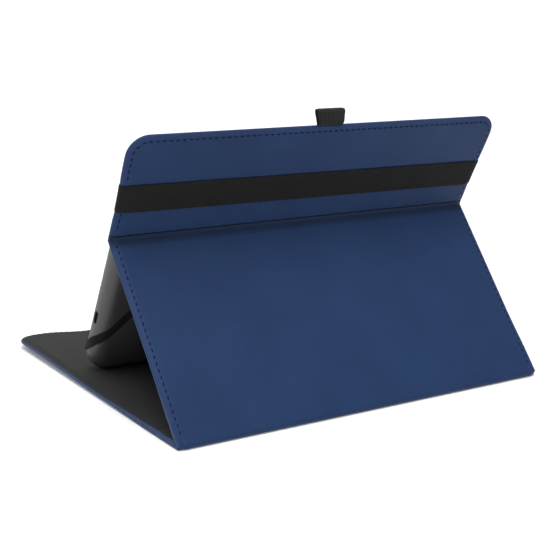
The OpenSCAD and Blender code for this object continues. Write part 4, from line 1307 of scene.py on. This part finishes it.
# ------------------------------------------------------------------ build: keyboard
KX0, KY0, PX, PY, GAP = -72.0, KB_Y0 + 2.6, 12.0, 11.6, 1.6
Z_CAP0, Z_CAP1 = 7.4 + 1.3, 8.8 + 1.6
R4 = [(i, 4, 1, 1, 0) for i in range(11)]
R3 = [(1.25 + i, 3, 1, 1, 0) for i in range(10)] + [(11.25, 3, 0.75, 1, 0)]
R2 = [(1.5 + i, 2, 1, 1, 0) for i in range(9)]
R1 = [(1.75 + i, 1, 1, 1, 0) for i in range(9)]
R0 = [(0, 0, 1.25, 1, 0), (1.25, 0, 1, 1, 0), (2.25, 0, 1, 1, 0), (3.25, 0, 1, 1, 0), (8, 0, 1, 1, 0)]
AH = (PY + GAP) / 2 / PY - 0.02
CAPS = {
    "keys_number_row": R4,
    "keys_upper_row": R3,
    "keys_home_row": R2,
    "keys_lower_row": R1,
    "keys_modifiers": R0,
    "key_backspace": [(11, 4, 1, 1, 0)],
    "key_tab": [(0, 3, 1.25, 1, 0)],
    "key_caps": [(0, 2, 1.5, 1, 0)],
    "key_enter": [(10.5, 2, 1.5, 1, 0)],
    "key_shift_left": [(0, 1, 1.75, 1, 0)],
    "key_shift_right": [(10.75, 1, 1.25, 1, 0)],
    "key_space": [(4.25, 0, 3.75, 1, 0)],
    "key_arrow_left": [(9, 0, 1, 1, 0)],
    "key_arrow_right": [(11, 0, 1, 1, 0)],
    "key_arrow_up": [(10, 0, 1, AH, PY / 2 - GAP / 2 + 0.23)],
    "key_arrow_down": [(10, 0, 1, AH, 0)],
}
km = np.array([0, 0.05, 0.14, 0.26, 0.42, 0.7, 1.2])


def cap_mesh(kx, row, kw, kh, dy, bar):
    x0, x1 = KX0 + kx * PX + GAP / 2, KX0 + (kx + kw) * PX - GAP / 2
    y0 = KY0 + row * PY + GAP / 2 + dy
    y1 = KY0 + row * PY + dy + kh * PY - GAP / 2
    X, U, d = plate(x0, x1, y0, y1, lines(x1 - x0, km, km, 0.85), lines(y1 - y0, km, km, 0.85), 1.2, 1.2)
    r = 0.42
    e = np.clip(r - d, 0, r)
    top = Z_CAP1 - (r - np.sqrt(np.maximum(r * r - e * e, 0)))
    cx, cy = (x0 + x1) / 2, (y0 + y1) / 2
    dish = 0.24 * np.clip(1 - ((X - cx) / ((x1 - x0) / 2)) ** 2, 0, 1) * np.clip(1 - ((U - cy) / ((y1 - y0) / 2)) ** 4, 0, 1)
    if kw > 3:  # the space bar is crowned, not dished
        dish = 0.16 * (np.abs((U - cy) / ((y1 - y0) / 2)) ** 2) * smooth(0.2, 1.2, d)
    top = top - dish * smooth(0.1, 1.0, d)
    if bar:
        bx = np.clip((1.9 - np.abs(X - cx)) / 0.35, 0, 1)
        by = np.clip((0.36 - np.abs(U - (y0 + 1.9))) / 0.28, 0, 1)
        top = top + 0.22 * np.minimum(bx, by) ** 0.6
    # a downward skirt flare, computed but not applied
    sk = 0.12 * (1 - smooth(0.0, 0.6, d))
    return X, U, top, Z_CAP0 + 0 * X


for node, keys in CAPS.items():
    v_, f_ = [], []
    base_ = 0
    for idx, (kx, row, kw, kh, dy) in enumerate(keys):
        bar = node == "keys_home_row" and idx in (3, 6)
        X, U, top, bot = cap_mesh(kx, row, kw, kh, dy, bar)
        X = -X  # the keyboard's own left is +X
        nx_, ny_ = X.shape
        n_ = nx_ * ny_
        v_ += [np.stack([X.ravel(), U.ravel(), top.ravel()], 1), np.stack([X.ravel(), U.ravel(), bot.ravel()], 1)]
        lp = rim_loop(nx_, ny_) + base_
        f_ += grid_faces(nx_, ny_, base_).tolist() + grid_faces(nx_, ny_, base_ + n_, True).tolist() + bridge(lp, lp + n_).tolist()
        base_ += 2 * n_
    v_ = np.concatenate(v_)
    cap = make(node.replace("keys_", "caps_").replace("key_", "cap_"), v_, f_, M_KEY)
    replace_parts(cap, node)
    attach(cap, node)

# ------------------------------------------------------------------ CAD nodes that stay
KEEP = {
    "spine_board": M_BOARD, "stand_board": M_BOARD, "upper_board": M_BOARD,
    "cover_magnets": M_DISC, "keyboard_magnets": M_DISC, "keyboard_base": M_SHELL, "keyboard_deck": M_SHELL,
    "keyboard_pcb": M_PCB, "dome_sheet": M_DOME, "battery": M_FOIL, "charge_port": M_PORT,
    "indicator_lenses": M_LENS, "rubber_feet": M_RUBBER, "keyboard_screws": M_SCREW, "power_switch": M_SWITCH,
    "port_grommet": M_RUBBER,
}
for n_, m_ in KEEP.items():
    o = NODES[n_]
    o.data.materials.clear()
    o.data.materials.append(m_)
    o.data.polygons.foreach_set("material_index", [0] * len(o.data.polygons))

# ------------------------------------------------------------------ stage, light, camera
def principled_plain(name, rgb, rough, emit=0.0):
    m, nt, b = tree(name)
    n_ = noise(nt, coords(nt), 3.0, 2.0)
    nt.links.new(mixc(nt, n_, tuple(c * 0.995 for c in rgb[:3]) + (1,), rgb), b.inputs["Base Color"])
    b.inputs["Roughness"].default_value = rough
    b.inputs["Specular IOR Level"].default_value = 0.1
    if emit:
        b.inputs["Emission Color"].default_value = (1, 1, 1, 1)
        far = nt.nodes.new("ShaderNodeVectorMath")
        far.operation = "LENGTH"
        nt.links.new(coords(nt), far.inputs[0])
        nt.links.new(rng(nt, far.outputs["Value"], emit, 0.56, 0.45, 2.2), b.inputs["Emission Strength"])
    return m


def sweep_floor():
    """A pale floor that curves up into a backdrop behind the object."""
    prof_ = [(9000, -0.2), (4000, -0.2), (-1500, -0.2)]
    prof_ += [(-1500 - 1200 * math.sin(t_), -0.2 + 1200 * (1 - math.cos(t_))) for t_ in np.linspace(0.1, math.pi / 2, 16)]
    prof_ += [(-2700, 6000)]
    v_, f_ = [], []
    for x_ in (-9000, 9000):
        v_ += [(x_, y_, z_) for y_, z_ in prof_]
    m_ = len(prof_)
    f_ = [(i, i + 1, m_ + i + 1, m_ + i) for i in range(m_ - 1)]
    o = make("studio_floor", np.array(v_), f_, principled_plain("studio_white", (0.86, 0.86, 0.86, 1), 0.9, 0.12), fix=False)
    return o


floor = sweep_floor()
# the floor is seen from above: its faces look up
if floor.data.polygons[0].normal.z < 0:
    floor.data.flip_normals()

world = bpy.data.worlds.new("studio")
world.use_nodes = True
bg = world.node_tree.nodes["Background"]
bg.inputs[0].default_value = (1.0, 1.0, 1.0, 1.0)
bg.inputs[1].default_value = 0.24
bpy.context.scene.world = world


def area(name, loc, target, size, power, size_y=None):
    ld = bpy.data.lights.new(name, "AREA")
    ld.shape = "RECTANGLE" if size_y else "SQUARE"
    ld.size = size
    if size_y:
        ld.size_y = size_y
    ld.energy = power
    o = bpy.data.objects.new(name, ld)
    bpy.context.scene.collection.objects.link(o)
    o.location = loc
    q = (Vector(target) - Vector(loc)).to_track_quat("-Z", "Y")
    o.rotation_mode = "QUATERNION"
    o.rotation_quaternion = q
    return o


area("key_overhead", (0.30, 0.50, 1.90), (0.0, 0.0, 0.05), 1.5, 42.0, 1.5)
area("fill_left", (1.5, -1.5, 0.8), (0.0, 0.0, 0.08), 1.0, 3.0, 0.9)
area("fill_front", (0.2, -1.8, 1.3), (0.0, 0.0, 0.08), 1.4, 5.0, 1.0)

cam_d = bpy.data.cameras.new("camera")
cam = bpy.data.objects.new("camera", cam_d)
bpy.context.scene.collection.objects.link(cam)
cam_d.sensor_width = 36.0
cam_d.sensor_fit = "HORIZONTAL"
cam_d.lens = 81.682
cam_d.clip_start, cam_d.clip_end = 0.02, 60.0
yaw, pitch, roll = -0.60301, 0.24521, 0.03046
right = np.array([math.cos(yaw), math.sin(yaw), 0.0])
fwd = np.array([-math.sin(yaw), math.cos(yaw), 0.0])
upz = np.array([0.0, 0.0, 1.0])
fwd2 = fwd * math.cos(pitch) - upz * math.sin(pitch)
up2 = upz * math.cos(pitch) + fwd * math.sin(pitch)
r3 = right * math.cos(roll) + up2 * math.sin(roll)
u3 = up2 * math.cos(roll) - right * math.sin(roll)
flipxy = np.array([-1.0, -1.0, 1.0])
r3, u3, f3 = r3 * flipxy, u3 * flipxy, fwd2 * flipxy
rot = Matrix((r3.tolist(), u3.tolist(), (-f3).tolist())).transposed()
cam.matrix_world = Matrix.Translation((0.44139, 0.64894, 0.24985)) @ rot.to_4x4()
bpy.context.scene.camera = cam
bpy.context.scene.view_settings.view_transform = "Standard"
bpy.context.scene.view_settings.look = "None"
